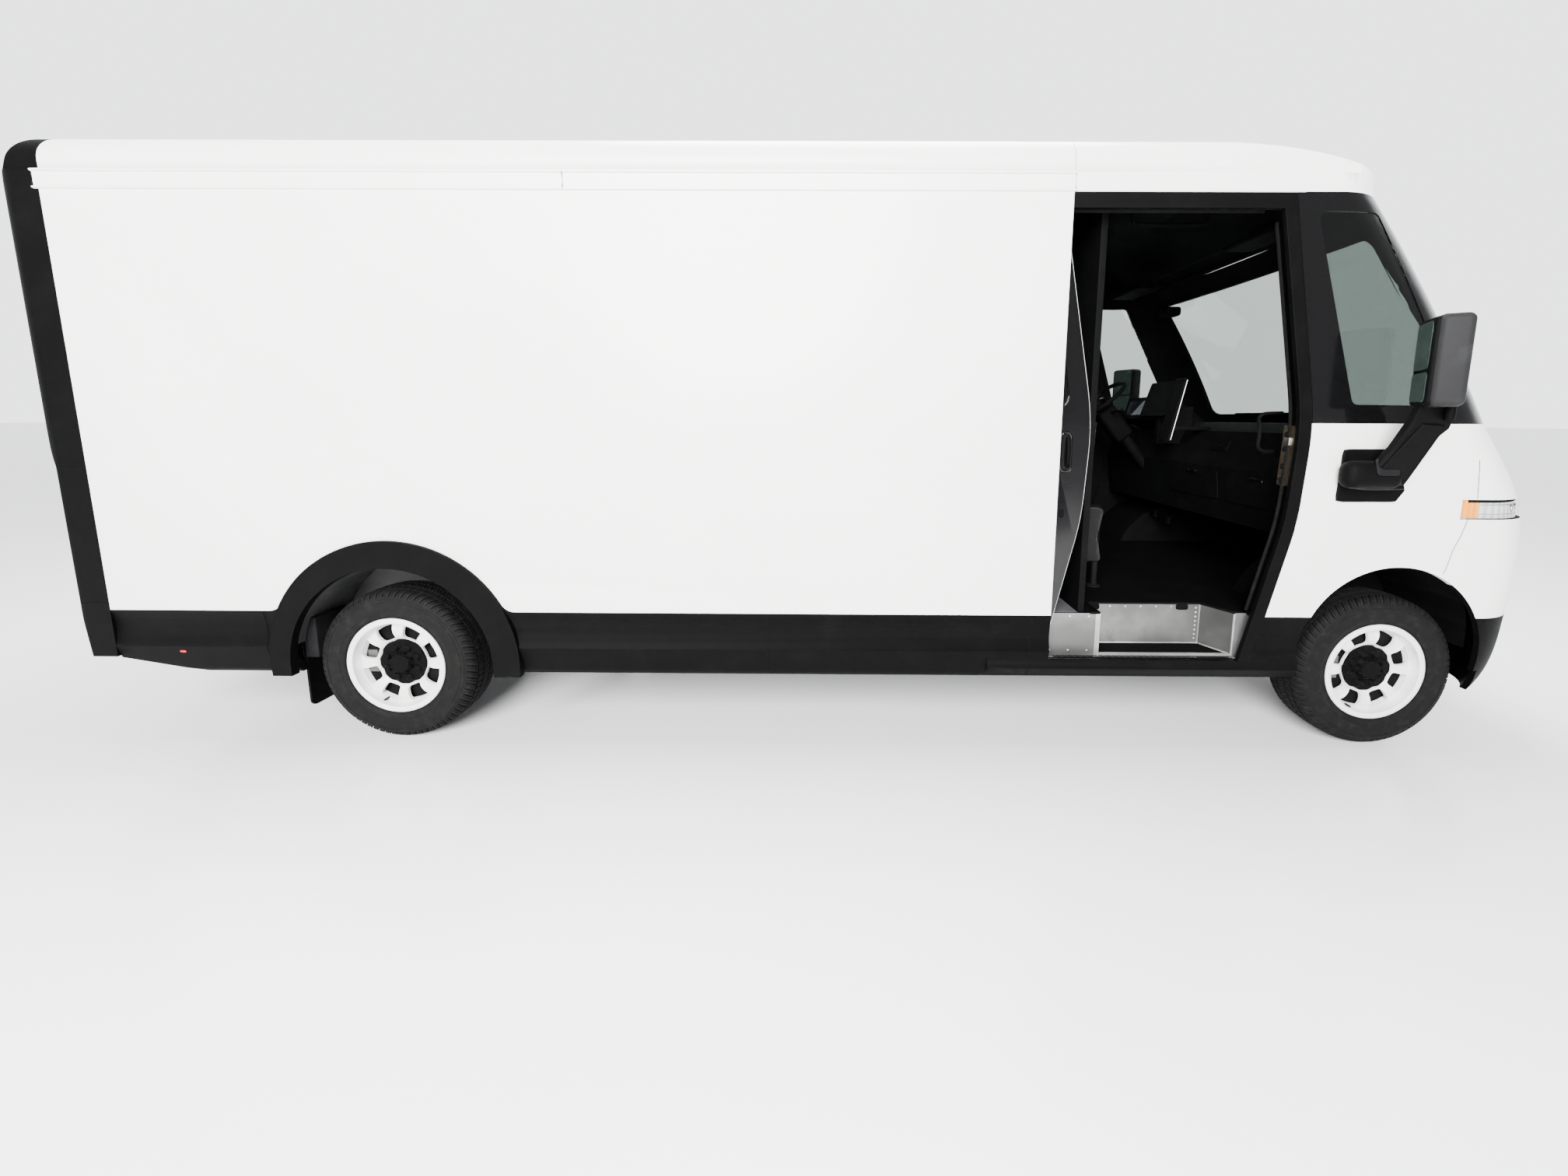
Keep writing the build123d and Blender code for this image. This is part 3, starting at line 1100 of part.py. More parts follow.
with BuildPart() as rear_hub:
    hub_and_brake(REAR_AXLE)
    bar((REAR_AXLE, -480, TYRE_R), (REAR_AXLE + 520, -480, CHASSIS_Z - 25), 25)
    bar((REAR_AXLE, -RAIL_Y, TYRE_R), (REAR_AXLE, -RAIL_Y, CHASSIS_Z), 42)
with BuildPart() as rear_axle:
    add(rear_hub.part)
    mirror(rear_hub.part, about=Plane.XZ)
    cylinder_across(REAR_AXLE, TYRE_R, 45, 50 - WHEEL_Y, WHEEL_Y - 50)
finish(rear_axle, "rear_axle")
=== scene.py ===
import functools
import math

import bmesh
import bpy
import numpy as np
from bpy.props import FloatProperty, FloatVectorProperty, IntProperty, PointerProperty
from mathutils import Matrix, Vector
from mathutils.bvhtree import BVHTree


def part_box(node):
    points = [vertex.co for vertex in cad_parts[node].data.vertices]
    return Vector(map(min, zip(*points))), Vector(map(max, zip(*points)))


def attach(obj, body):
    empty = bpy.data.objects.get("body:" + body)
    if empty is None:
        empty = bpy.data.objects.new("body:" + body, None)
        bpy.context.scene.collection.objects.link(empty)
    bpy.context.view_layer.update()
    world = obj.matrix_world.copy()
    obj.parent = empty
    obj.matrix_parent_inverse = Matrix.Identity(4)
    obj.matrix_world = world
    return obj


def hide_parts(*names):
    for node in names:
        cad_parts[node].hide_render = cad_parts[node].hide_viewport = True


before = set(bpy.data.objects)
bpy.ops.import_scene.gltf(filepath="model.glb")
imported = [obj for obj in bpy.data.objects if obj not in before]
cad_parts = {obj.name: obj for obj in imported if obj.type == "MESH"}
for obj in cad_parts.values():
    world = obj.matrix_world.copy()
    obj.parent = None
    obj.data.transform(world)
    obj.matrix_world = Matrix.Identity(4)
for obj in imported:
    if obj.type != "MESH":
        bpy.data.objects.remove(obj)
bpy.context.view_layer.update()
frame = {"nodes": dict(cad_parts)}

bl_info = {
    "name": "Walk-in delivery van",
    "version": (1, 0, 0),
    "blender": (4, 5, 0),
    "location": "View3D > Sidebar > Van",
    "description": "Builds the visible surfaces of an electric delivery van round its construction model",
    "category": "Add Mesh",
}

NODES = frame["nodes"]
SIDES = (("right", -1), ("left", 1))
AHEAD, BACK, LEFT, RIGHT, UP = (1, 0, 0), (-1, 0, 0), (0, 1, 0), (0, -1, 0), (0, 0, 1)
TURN = 2 * math.pi
MERGE = 2e-5  # points closer than this become one, in metres
PAST_NOSE, PAST_TAIL = 4.2, -3.9  # where rays to the front and the rear panels start
WHEELS = [(end, hand, sign) for end in ("front", "rear") for hand, sign in SIDES]


# ------------------------------------------------------------------ shader maths
class Signal:
    """A node's output that takes part in Python expressions: each operation adds its Math node."""

    def __init__(self, finish, socket):
        self.finish = finish
        self.socket = socket

    def math(self, operation, *values):
        """Math node of one operation."""
        return self.finish.node("ShaderNodeMath", {"operation": operation}, values)

    def __add__(self, other):
        return self.math("ADD", self, other)

    def __mul__(self, other):
        return self.math("MULTIPLY", self, other)

    __radd__ = __add__
    __rmul__ = __mul__

    def ease(self, low, high):
        """0 below low, 1 above high, and a smooth step between them."""
        return self.finish.node(
            "ShaderNodeMapRange",
            {"interpolation_type": "SMOOTHSTEP"},
            {"Value": self, "From Min": low, "From Max": high},
        )


class Finish:
    """A node material. One method makes its nodes, and coat() closes it with a shader."""

    def __init__(self, name):
        self.material = bpy.data.materials.new(name)
        self.material.use_nodes = True
        self.tree = self.material.node_tree
        self.tree.nodes.clear()
        self.place = self.node("ShaderNodeTexCoord", output="Object")

    def node(self, kind, settings=None, inputs=(), output=0):
        """Add a node, set its own settings, then its sockets, and give back one output."""
        node = self.tree.nodes.new(kind)
        for key, value in (settings or {}).items():
            setattr(node, key, value)
        for key, value in inputs.items() if isinstance(inputs, dict) else enumerate(inputs):
            if isinstance(value, Signal):
                self.tree.links.new(value.socket, node.inputs[key])
            elif value is not None:
                node.inputs[key].default_value = value
        return Signal(self, node.outputs[output])

    def stretched(self, scale):
        """Object coordinates scaled apart along each axis, in metres."""
        return self.node("ShaderNodeMapping", None, {"Vector": self.place, "Scale": scale})

    def noise(self, scale, detail=2.0, rough=0.5, vector=None):
        """Fractal noise from 0 to 1."""
        return self.node(
            "ShaderNodeTexNoise",
            None,
            {"Vector": vector or self.place, "Scale": scale, "Detail": detail, "Roughness": rough},
        )

    def cells(self, scale):
        """Distance to the nearest of scattered points."""
        return self.node("ShaderNodeTexVoronoi", None, {"Vector": self.place, "Scale": scale})

    def waves(self, phase):
        """Sine of a phase."""
        return self.node("ShaderNodeMath", {"operation": "SINE"}, [phase])

    def axis(self, name):
        """One coordinate of the surface point, in metres."""
        return self.node("ShaderNodeSeparateXYZ", None, [self.place], output=name)

    def mix(self, share, first, second):
        """Colour that goes from first to second with share."""
        colours = [c if isinstance(c, Signal) else (*c, 1) for c in (first, second)]
        return self.node(
            "ShaderNodeMix",
            {"data_type": "RGBA", "clamp_factor": True},
            {0: share, 6: colours[0], 7: colours[1]},
            output=2,
        )

    def bump(self, height, distance, strength=1.0, normal=None):
        """Normal of a surface raised by height times distance in metres."""
        return self.node(
            "ShaderNodeBump", None, {
                "Height": height, "Distance": distance, "Strength": strength, "Normal": normal
            }
        )

    def coat(self, colour, rough, normal=None, **fixed):
        """Close the material with a Principled shader; fixed values go on the shader's own sockets."""
        colour = colour if isinstance(colour, Signal) else (*colour, 1)
        sockets = {"Base Color": colour, "Roughness": rough, "Normal": normal}
        sockets.update({key.replace("_", " "): value for key, value in fixed.items()})
        shader = self.node("ShaderNodeBsdfPrincipled", None, sockets, output="BSDF")
        self.node_output(shader)
        return self.material

    def node_output(self, shader):
        """Put a shader on the material's surface."""
        end = self.tree.nodes.new("ShaderNodeOutputMaterial")
        self.tree.links.new(shader.socket, end.inputs["Surface"])


# ------------------------------------------------------------------ finishes
def shade(colour, factor):
    """The colour made lighter or darker."""
    return tuple(min(1.0, c * factor) for c in colour)


def body_paint(name, colour):
    """Gloss paint over faintly wavy sheet, with a fine orange peel."""
    f = Finish(name)
    broad = f.noise(1.1, 3, 0.55)
    peel = f.noise(260, 2)
    tone = f.mix(broad.ease(0.3, 0.7), shade(colour, 0.965), colour)
    sheet = f.bump(f.noise(2.4, 2), 0.004, 0.35)
    return f.coat(
        tone, 0.32 + 0.1 * broad, f.bump(peel, 0.0002, 0.15, sheet), Coat_Weight=0.12, Coat_Roughness=0.1
    )


def grained_plastic(name, colour, rough=0.55, grain=900):
    """Moulded plastic with a leather-like grain, paler and duller where it is worn."""
    f = Finish(name)
    wear = f.noise(7, 4, 0.6)
    tone = f.mix(wear.ease(0.45, 0.8), colour, shade(colour, 1.5))
    skin = f.cells(grain)
    return f.coat(tone, rough - 0.08 + 0.16 * wear, f.bump(skin, 0.0006, 0.5), Specular_IOR_Level=0.035)


def gloss_plastic(name, colour, rough=0.08, shine=0.4):
    """Polished panel with faint smears."""
    f = Finish(name)
    smear = f.noise(5, 5, 0.65, f.stretched((1, 1, 3)))
    return f.coat(
        colour, rough + 0.12 * smear.ease(0.4, 0.9), f.bump(f.noise(3), 0.002, 0.2),
        Specular_IOR_Level=shine,
    )


def worn_metal(name, colour, rough, metallic=1.0, scale=60):
    """Cast or rolled metal with mottled roughness and a dusty film."""
    f = Finish(name)
    mottle = f.noise(scale, 4, 0.6)
    dust = f.noise(4, 3).ease(0.5, 0.8)
    tone = f.mix(mottle, shade(colour, 0.75), shade(colour, 1.15))
    tone = f.mix(dust * 0.35, tone, (0.16, 0.15, 0.14))
    return f.coat(tone, rough + 0.25 * mottle, f.bump(mottle, 0.0008, 0.4), Metallic=metallic)


def brushed_metal(name, colour, along=(2, 90, 900)):
    """Sheet metal with long brush lines and scuffs."""
    f = Finish(name)
    lines = f.noise(3, 3, 0.7, f.stretched(along))
    scuff = f.noise(14, 5, 0.7)
    tone = f.mix(scuff.ease(0.45, 0.75) * 0.8, colour, shade(colour, 0.5))
    tone = f.mix(lines * 0.35, tone, shade(colour, 0.7))
    tone = f.mix(f.noise(2.6, 3, 0.5).ease(0.35, 0.65), shade(colour, 0.45), tone)
    return f.coat(tone, 0.3 + 0.2 * lines + 0.15 * scuff, f.bump(lines, 0.0003, 0.3), Metallic=0.9)


def glass_sheet(name, colour):
    """Tinted window glass that lets lamp light through."""
    f = Finish(name)
    glass = f.node(
        "ShaderNodeBsdfPrincipled",
        None,
        {"Base Color": (*colour, 1), "Roughness": 0.0, "Transmission Weight": 1.0, "IOR": 1.45},
        output="BSDF",
    )
    clear = f.node("ShaderNodeBsdfTransparent", None, [(*shade(colour, 0.95), 1)])
    shadow = f.node("ShaderNodeLightPath", output="Is Shadow Ray")
    f.node_output(f.node("ShaderNodeMixShader", None, [shadow, glass, clear]))
    return f.material


def tyre_rubber(name, colour):
    """Black rubber, greyer in the dust of the tread."""
    f = Finish(name)
    dust = f.noise(30, 5, 0.7)
    tone = f.mix(dust.ease(0.45, 0.8) * 0.6, colour, shade(colour, 3.5))
    return f.coat(tone, 0.6 + 0.25 * dust, f.bump(f.noise(1500, 2), 0.0003, 0.4), Specular_IOR_Level=0.08)


def lamp_lens(name, colour, glow=0.0, flutes=260):
    """Coloured lens with upright flutes and a soft glow behind it."""
    f = Finish(name)
    ribs = f.waves((f.axis("Y") + f.axis("X")) * flutes)
    tone = f.mix(ribs.ease(-1, 1), shade(colour, 0.7), colour)
    return f.coat(
        tone,
        0.08 + 0.05 * f.noise(40),
        f.bump(ribs, 0.0012, 0.6),
        Coat_Weight=0.3,
        Specular_IOR_Level=0.2,
        Emission_Color=(*colour, 1),
        Emission_Strength=glow,
    )


def woven_cloth(name, colour):
    """Seat fabric of crossed yarns with small colour changes from yarn to yarn."""
    f = Finish(name)
    threads = [f.waves(f.axis(a) * 2600) for a in "XYZ"]
    weave = threads[0] * threads[1] + threads[2] * (threads[0] + threads[1]) * 0.5
    mottle = f.noise(420, 3)
    tone = f.mix(mottle, shade(colour, 0.6), shade(colour, 1.7))
    return f.coat(
        tone, 0.82 + 0.1 * mottle, f.bump(weave, 0.0006, 0.5), Sheen_Weight=0.05, Specular_IOR_Level=0.1
    )


def looks(context):
    """Make every finish once, with the colours of the finish settings."""
    p = context.scene.van_finishes
    made = {
        "white": body_paint("white_paint", p.body),
        "cladding": grained_plastic("black_cladding", p.cladding),
        "gloss": gloss_plastic("black_gloss", p.gloss),
        "glass": glass_sheet("window_glass", p.glass),
        "rubber": tyre_rubber("tyre_rubber", p.rubber),
        "wheel": body_paint("wheel_enamel", p.wheel),
        "frame": grained_plastic("frame_coating", p.frame, 0.45, 300),
        "alloy": brushed_metal("brushed_aluminium", p.alloy),
        "floor": grained_plastic("floor_covering", p.floor, 0.7, 300),
        "trim": grained_plastic("interior_moulding", p.trim, 0.65, 1100),
        "liner": grained_plastic("wall_liner", p.liner, 0.6, 400),
        "cloth": woven_cloth("seat_cloth", p.cloth),
        "case": worn_metal("battery_case", p.case, 0.4, 0.3),
        "cast": worn_metal("cast_iron", p.cast, 0.45),
        "steel": worn_metal("bright_steel", p.steel, 0.22, 1.0, 200),
        "amber": lamp_lens("amber_lens", p.amber, p.glow),
        "red": lamp_lens("red_lens", p.red, p.glow),
        "clear": lamp_lens("clear_lens", p.clear, 0.02, 180),
        # near-black for gaps and holes, and for painted shade behind the wheel windows and under the lamps'
        # brows
        "dark": grained_plastic("dark_gap_and_painted_shade", (0.004, 0.004, 0.004), 0.9),
        "mat": grained_plastic("rubber_mat", p.mat, 0.6, 500),
        # mirror caps lighter than the cladding: painted sheen of grazing light on their grain
        "cap": grained_plastic("mirror_cap_with_painted_sheen", p.cap, 0.38, 700),
        # near-black glossy glass: painted dark reflection of the surroundings, in place of silvering
        "mirror": gloss_plastic("mirror_glass_painted_reflection", p.mirror, 0.02, 0.15),
        "zinc": worn_metal("zinc_liner", p.zinc, 0.35, 0.4, 40),
        "bright": brushed_metal("bright_trim", p.bright, (90, 90, 3)),
        "screen": gloss_plastic("screen", (0.004, 0.005, 0.008), 0.04, 0.15),
        "bronze": worn_metal("passivated_zinc", p.bronze, 0.25, 1.0, 120),
    }
    LOOKS.update(made)


LOOKS = {}
NODE_LOOKS = {
    "white": "cargo_wall_right cargo_wall_left cargo_roof cab_roof nose_panel rear_door",
    "cladding": "side_skirt_right side_skirt_left front_bumper rear_frame rear_step mirror_right mirror_left "
    "mudflap_right mudflap_left",
    "gloss": "windscreen_surround door_frame_right door_frame_left sliding_door_right sliding_door_left",
    "glass": "cab_glass door_glass_right door_glass_left",
    "frame": "frame_rails cross_members",
    "alloy": "cab_floor",
    "floor": "cargo_floor",
    "trim": "dashboard steering_wheel steering_column jump_seat bulkhead",
    "zinc": "wheel_housings",
    "cloth": "driver_seat",
    "case": "battery_pack drive_unit",
    "cast": "rear_axle front_suspension knuckle_right knuckle_left",
    "clear": "lamps",
    "rubber": " ".join(f"tyre_{end}_{hand}" for end, hand, _ in WHEELS),
    "wheel": " ".join(f"wheel_{end}_{hand}" for end, hand, _ in WHEELS),
}


def swatch(name, default, note):
    """Colour property of the finish settings."""
    return FloatVectorProperty(
        name=name, description=note, subtype="COLOR", min=0, max=1, size=3, default=default
    )


def metres(name, default, note, low=0.0, high=20.0):
    """Length property in metres."""
    return FloatProperty(name=name, description=note, default=default, min=low, max=high, unit="LENGTH")


class VanFinishes(bpy.types.PropertyGroup):
    """Colours of the van's finishes."""

    body: swatch("Body", (0.84, 0.86, 0.82), "Gloss paint of the body panels")
    wheel: swatch("Wheels", (0.72, 0.73, 0.71), "Enamel of the steel wheels")
    cladding: swatch("Cladding", (0.0018, 0.0018, 0.0019), "Grained plastic of the skirts and bumpers")
    gloss: swatch("Gloss trim", (0.0022, 0.0022, 0.0024), "Gloss panels round the glass")
    glass: swatch("Glass", (0.29, 0.33, 0.31), "Tint of the windows")
    rubber: swatch("Tyres", (0.0042, 0.0042, 0.0041), "Rubber of the tyres")
    frame: swatch("Frame", (0.007, 0.007, 0.0075), "Coating of the chassis")
    alloy: swatch("Steps", (0.30, 0.30, 0.29), "Brushed metal of the entrance steps")
    floor: swatch("Floor", (0.06, 0.06, 0.063), "Covering of the load floor")
    trim: swatch("Cab trim", (0.0024, 0.0024, 0.0026), "Mouldings inside the cab")
    liner: swatch("Liner", (0.25, 0.25, 0.25), "Lining of the load space")
    cloth: swatch("Seat cloth", (0.008, 0.008, 0.008), "Cloth of the seats")
    case: swatch("Cases", (0.12, 0.125, 0.13), "Battery and motor cases")
    cast: swatch("Castings", (0.14, 0.135, 0.13), "Suspension and brake castings")
    steel: swatch("Bright steel", (0.6, 0.58, 0.55), "Bare and plated steel")
    amber: swatch("Amber lens", (0.9, 0.32, 0.02), "Turn signal lenses")
    red: swatch("Red lens", (0.60, 0.006, 0.004), "Rear and side marker lenses")
    clear: swatch("Clear lens", (0.50, 0.52, 0.51), "Headlamp lenses")
    mat: swatch("Mats", (0.0022, 0.0022, 0.0023), "Rubber mats of the cab and the steps")
    # The caps' grained plastic is lighter than the cladding's, which paints in the sheen that grazing light
    # gives their sides
    cap: swatch("Mirror caps", (0.016, 0.016, 0.0165), "Grained plastic of the mirrors")
    # Dark tint of the mirror glass: painted dark reflection of its surroundings, not silvering
    mirror: swatch("Mirror glass", (0.020, 0.030, 0.027), "Silvering of the mirrors")
    zinc: swatch("Arch liners", (0.05, 0.05, 0.05), "Coated metal of the wheel housings")
    bright: swatch("Bright trim", (0.78, 0.78, 0.77), "Nosings and corner trims of the steps")
    bronze: swatch("Strikers", (0.55, 0.45, 0.30), "Plated steel of the door strikers")
    glow: FloatProperty(
        name="Glow", description="Light that comes from the coloured lenses", default=0.10, min=0
    )


class VanStage(bpy.types.PropertyGroup):
    """Camera and light."""

    lens: FloatProperty(name="Lens", description="Focal length in millimetres", default=13.0, min=1)
    floor: swatch("Floor", (0.80, 0.80, 0.81), "Studio floor")
    shade: FloatProperty(
        name="Shade", description="Share of the surround on the camera's own side", default=0.16, min=0
    )
    sky: FloatProperty(
        name="Surround", description="Strength of the light from all round", default=3.0, min=0
    )


# ------------------------------------------------------------------ surfaces
class Shell:
    """Grids of points that become one mesh; hand -1 puts what is drawn on the left on the right."""

    def __init__(self, hand=1):
        self.hand = np.array([1, hand, 1])
        self.points, self.quads, self.looks, self.count = [], [], [], 0

    def grid(self, points, around=True, along=False, look=0):
        """Quads between neighbours of a (rows, columns, 3) array; around closes columns, along rows."""
        rows, columns = points.shape[:2]
        i, j = np.meshgrid(np.arange(rows - (not along)), np.arange(columns - (not around)), indexing="ij")
        i2, j2 = (i + 1) % rows, (j + 1) % columns
        quads = np.stack([i * columns + j, i * columns + j2, i2 * columns + j2, i2 * columns + j], -1)
        quads = quads.reshape(-1, 4) + self.count
        self.points.append(points.reshape(-1, 3) * self.hand)
        self.quads.append(quads)
        self.looks.append(np.full(len(quads), look))
        self.count += rows * columns
        return self

    def tube(self, path, radius, sides=12, look=0):
        """Tube round a path of points."""
        return self.grid(pipe(path, radius, sides), look=look)

    def rod(self, start, end, radius, sides=8, look=0, steps=3):
        """Tube from one place to another."""
        path = straight(start, end, steps)
        return self.tube(path, radius, sides, look)

    def bent(self, points, radius, sides=10, steps=6, look=0):
        """Tube along the smooth curve through points."""
        return self.tube(smooth_path(points, steps), radius, sides, look)

    def box(self, low, high, radius, steps=3, look=0):
        """Box with round edges between two corners."""
        return self.grid(block(low, high, radius, steps), look=look)

    def panel(self, corners, radius, thick, origin, across, up, look=0, bevel=0.002, steps=10):
        """Bevelled plate with round corners."""
        return self.grid(plate(rounded(corners, radius, steps), thick, bevel, origin, across, up), look=look)

    def ring(self, path, radius, sides, look=0):
        """Open ring: a tube without the caps at its ends."""
        return self.grid(pipe(path, radius, sides)[1:-1], look=look)

    def bolts(self, places, away, radius=0.006, look=0):
        """Domed bolt heads with a washer, standing away from a surface."""
        away = np.asarray(away, float) / np.linalg.norm(away)
        profile = np.array([(0, 1.5), (0.1, 1.5), (0.15, 1.0), (0.5, 0.95), (0.75, 0.6), (0.8, 0.0)])
        for place in places:
            path = np.asarray(place, float) + profile[:, :1] * radius * away
            self.ring(path, profile[:, 1] * radius, 10, look)
        return self

    def build(self, name, *materials, sharp=35):
        """Mesh object of every grid, doubles merged and faces turned outwards."""
        mesh = bpy.data.meshes.new(name)
        points, quads = np.concatenate(self.points), np.concatenate(self.quads)
        mesh.vertices.add(len(points))
        mesh.vertices.foreach_set("co", points.astype(np.float32).ravel())
        mesh.loops.add(quads.size)
        mesh.loops.foreach_set("vertex_index", quads.astype(np.int32).ravel())
        mesh.polygons.add(len(quads))
        mesh.polygons.foreach_set("loop_start", np.arange(0, quads.size, 4, dtype=np.int32))
        mesh.polygons.foreach_set("material_index", np.concatenate(self.looks).astype(np.int32))
        mesh.update(calc_edges=True)
        tidy = bmesh.new()
        tidy.from_mesh(mesh)
        bmesh.ops.remove_doubles(tidy, verts=tidy.verts, dist=MERGE)
        bmesh.ops.recalc_face_normals(tidy, faces=tidy.faces)
        tidy.to_mesh(mesh)
        tidy.free()
        mesh.polygons.foreach_set("use_smooth", np.full(len(mesh.polygons), True))
        mesh.set_sharp_from_angle(angle=math.radians(sharp))
        piece = bpy.data.objects.new(name, mesh)
        bpy.context.collection.objects.link(piece)
        for material in materials:
            mesh.materials.append(LOOKS[material] if isinstance(material, str) else material)
        return piece


def eased(x):
    """Smooth step of values clipped to 0..1."""
    x = np.clip(x, 0, 1)
    return x * x * (3 - 2 * x)


def curve(knots, values, at):
    """Cubic through (knot, value) pairs with slopes from the neighbouring knots."""
    k, v = np.asarray(knots, float), np.asarray(values, float)
    slope = np.gradient(v, k)
    i = np.clip(np.searchsorted(k, at, side="right") - 1, 0, len(k) - 2)
    h = k[i + 1] - k[i]
    t = np.clip((at - k[i]) / h, 0, 1)
    return (
        v[i] * (1 + 2 * t) * (1 - t) ** 2
        + slope[i] * h * t * (1 - t) ** 2
        + v[i + 1] * t * t * (3 - 2 * t)
        + slope[i + 1] * h * t * t * (t - 1)
    )


def rounded(corners, radius, steps=12):
    """Closed outline of a polygon with round corners, evenly spaced from corner to corner."""
    c = np.asarray(corners, float)
    radius = np.broadcast_to(radius, len(c))
    back, ahead = np.roll(c, 1, 0) - c, np.roll(c, -1, 0) - c
    back /= np.linalg.norm(back, axis=1)[:, None]
    ahead /= np.linalg.norm(ahead, axis=1)[:, None]
    half = np.arccos(np.clip((back * ahead).sum(1), -1, 1)) / 2
    middle = back + ahead
    middle /= np.linalg.norm(middle, axis=1)[:, None]
    centre = c + middle * (radius / np.sin(half))[:, None]
    sweep = np.linspace(-1, 1, 9)[None, :] * (math.pi / 2 - half)[:, None]
    turn = np.sign(back[:, 0] * ahead[:, 1] - back[:, 1] * ahead[:, 0])[:, None]
    out = np.arctan2(-middle[:, 1], -middle[:, 0])[:, None] - turn * sweep
    arcs = centre[:, None] + radius[:, None, None] * np.stack([np.cos(out), np.sin(out)], -1)
    line = np.concatenate([arcs[:, 4:], np.roll(arcs, -1, 0)[:, :5]], 1)
    length = np.concatenate(
        [np.zeros((len(c), 1)), np.cumsum(np.linalg.norm(np.diff(line, axis=1), axis=2), 1)], 1
    )
    share = np.linspace(0, 1, steps, endpoint=False)
    sides = [
        np.stack([np.interp(share * total[-1], total, side[:, k]) for k in (0, 1)], -1)
        for side, total in zip(line, length)
    ]
    return np.concatenate(sides)


def inset(outline, amount):
    """Closed outline moved inwards along its normals."""
    step = np.roll(outline, -1, 0) - np.roll(outline, 1, 0)
    normal = np.stack([-step[:, 1], step[:, 0]], -1) / np.linalg.norm(step, axis=1)[:, None]
    area = (outline[:, 0] * np.roll(outline[:, 1], -1) - outline[:, 1] * np.roll(outline[:, 0], -1)).sum()
    return outline + normal * amount * np.sign(area)


def laid(flat, height, origin, across, up):
    """Flat points put into space: first coordinate across, second up, height along their cross product."""
    across, up = np.asarray(across, float), np.asarray(up, float)
    away = np.cross(across, up)
    height = np.broadcast_to(height, flat.shape[:-1])
    return np.asarray(origin, float) + flat[..., :1] * across + flat[..., 1:2] * up + height[..., None] * away


def plate(outline, thick, bevel, origin, across, up):
    """Grid of a bevelled plate: rings from the back's middle over the edge to the front's middle."""
    middle = outline.mean(0)[None].repeat(len(outline), 0)
    inner = inset(outline, bevel)
    rings = [middle, inner, outline, outline, inner, middle]
    heights = [0, 0, bevel, thick - bevel, thick, thick]
    flat = np.stack(rings)
    return laid(flat, np.array(heights)[:, None], origin, across, up)


def pipe(path, radius, sides=12):
    """Tube round a path: circles square to it, turned by the least amount from point to point."""
    path = np.asarray(path, float)
    along = np.gradient(path, axis=0)
    along /= np.linalg.norm(along, axis=1)[:, None]
    guide = np.eye(3)[np.argmin(np.abs(along).max(0))]
    first = np.cross(along, guide)
    first /= np.linalg.norm(first, axis=1)[:, None]
    second = np.cross(along, first)
    a = np.linspace(0, TURN, sides, endpoint=False)
    radius = np.broadcast_to(radius, len(path))[:, None, None]
    ring = first[:, None] * np.cos(a)[None, :, None] + second[:, None] * np.sin(a)[None, :, None]
    tube = path[:, None] + radius * ring
    ends = [np.repeat(path[k][None, None], sides, 1) for k in (0, -1)]
    return np.concatenate([ends[0], tube, ends[1]])


def smooth_path(points, steps=8):
    """Points of a curve that passes through the given ones."""
    p = np.asarray(points, float)
    knots = np.arange(len(p))
    at = np.linspace(0, len(p) - 1, (len(p) - 1) * steps + 1)
    return np.stack([curve(knots, p[:, k], at) for k in range(p.shape[1])], -1)


def block(low, high, radius, steps=3):
    """Grid of a box with round edges: a sphere's octants drawn apart to the corners."""
    low, high = np.asarray(low, float), np.asarray(high, float)
    radius = min(radius, *((high - low) / 2.001))
    quarter = np.linspace(0, math.pi / 2, steps + 1)
    around = np.concatenate([quarter + k * math.pi / 2 for k in range(4)])
    sign_x = np.repeat([1, -1, -1, 1], steps + 1)
    sign_y = np.repeat([1, 1, -1, -1], steps + 1)
    down = np.concatenate([[0], quarter, quarter + math.pi / 2, [math.pi]])
    sign_z = np.concatenate([np.ones(steps + 2), -np.ones(steps + 2)])
    half, middle = (high - low) / 2 - radius, (high + low) / 2
    pole = np.ones(len(down))
    pole[[0, -1]] = 0
    ball = np.stack(
        [
            np.sin(down)[:, None] * np.cos(around)[None],
            np.sin(down)[:, None] * np.sin(around)[None],
            np.repeat(np.cos(down)[:, None], len(around), 1),
        ],
        -1,
    )
    corner = np.stack(
        [
            pole[:, None] * sign_x[None] * half[0],
            pole[:, None] * sign_y[None] * half[1],
            np.repeat(sign_z[:, None] * half[2], len(around), 1),
        ],
        -1,
    )
    return middle + corner + radius * ball


def turned(profile, centre, sign, steps):
    """Surface of revolution about an axle: profile rows of (reach outboard, radius)."""
    profile = np.asarray(profile, float)
    a = np.linspace(0, TURN, steps, endpoint=False)
    return wheel_points(profile[:, :1], profile[:, 1:], a[None], centre, sign)


def wheel_points(reach, radius, angle, centre, sign):
    """Points at a reach outboard of a wheel's centre, a radius and an angle from the top."""
    reach, radius, angle = np.broadcast_arrays(reach, radius, angle)
    x = centre[0] + radius * np.sin(angle)
    y = centre[1] + sign * reach
    z = centre[2] + radius * np.cos(angle)
    return np.stack([x, y, z], -1)


def add_piece(shell, name, body, finishes, slot, replaces=(), **build):
    """Build a shell's mesh, ride it on a body and hide the carried-over nodes it stands for."""
    piece = shell.build(name, *finishes.split(), **build)
    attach(piece, body)
    if replaces:
        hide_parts(*replaces)


@functools.cache
def tree_of(node):
    """Search tree of a carried-over node's faces, for rays."""
    shape = bmesh.new()
    shape.from_mesh(NODES[node].data)
    tree = BVHTree.FromBMesh(shape)
    shape.free()
    return tree


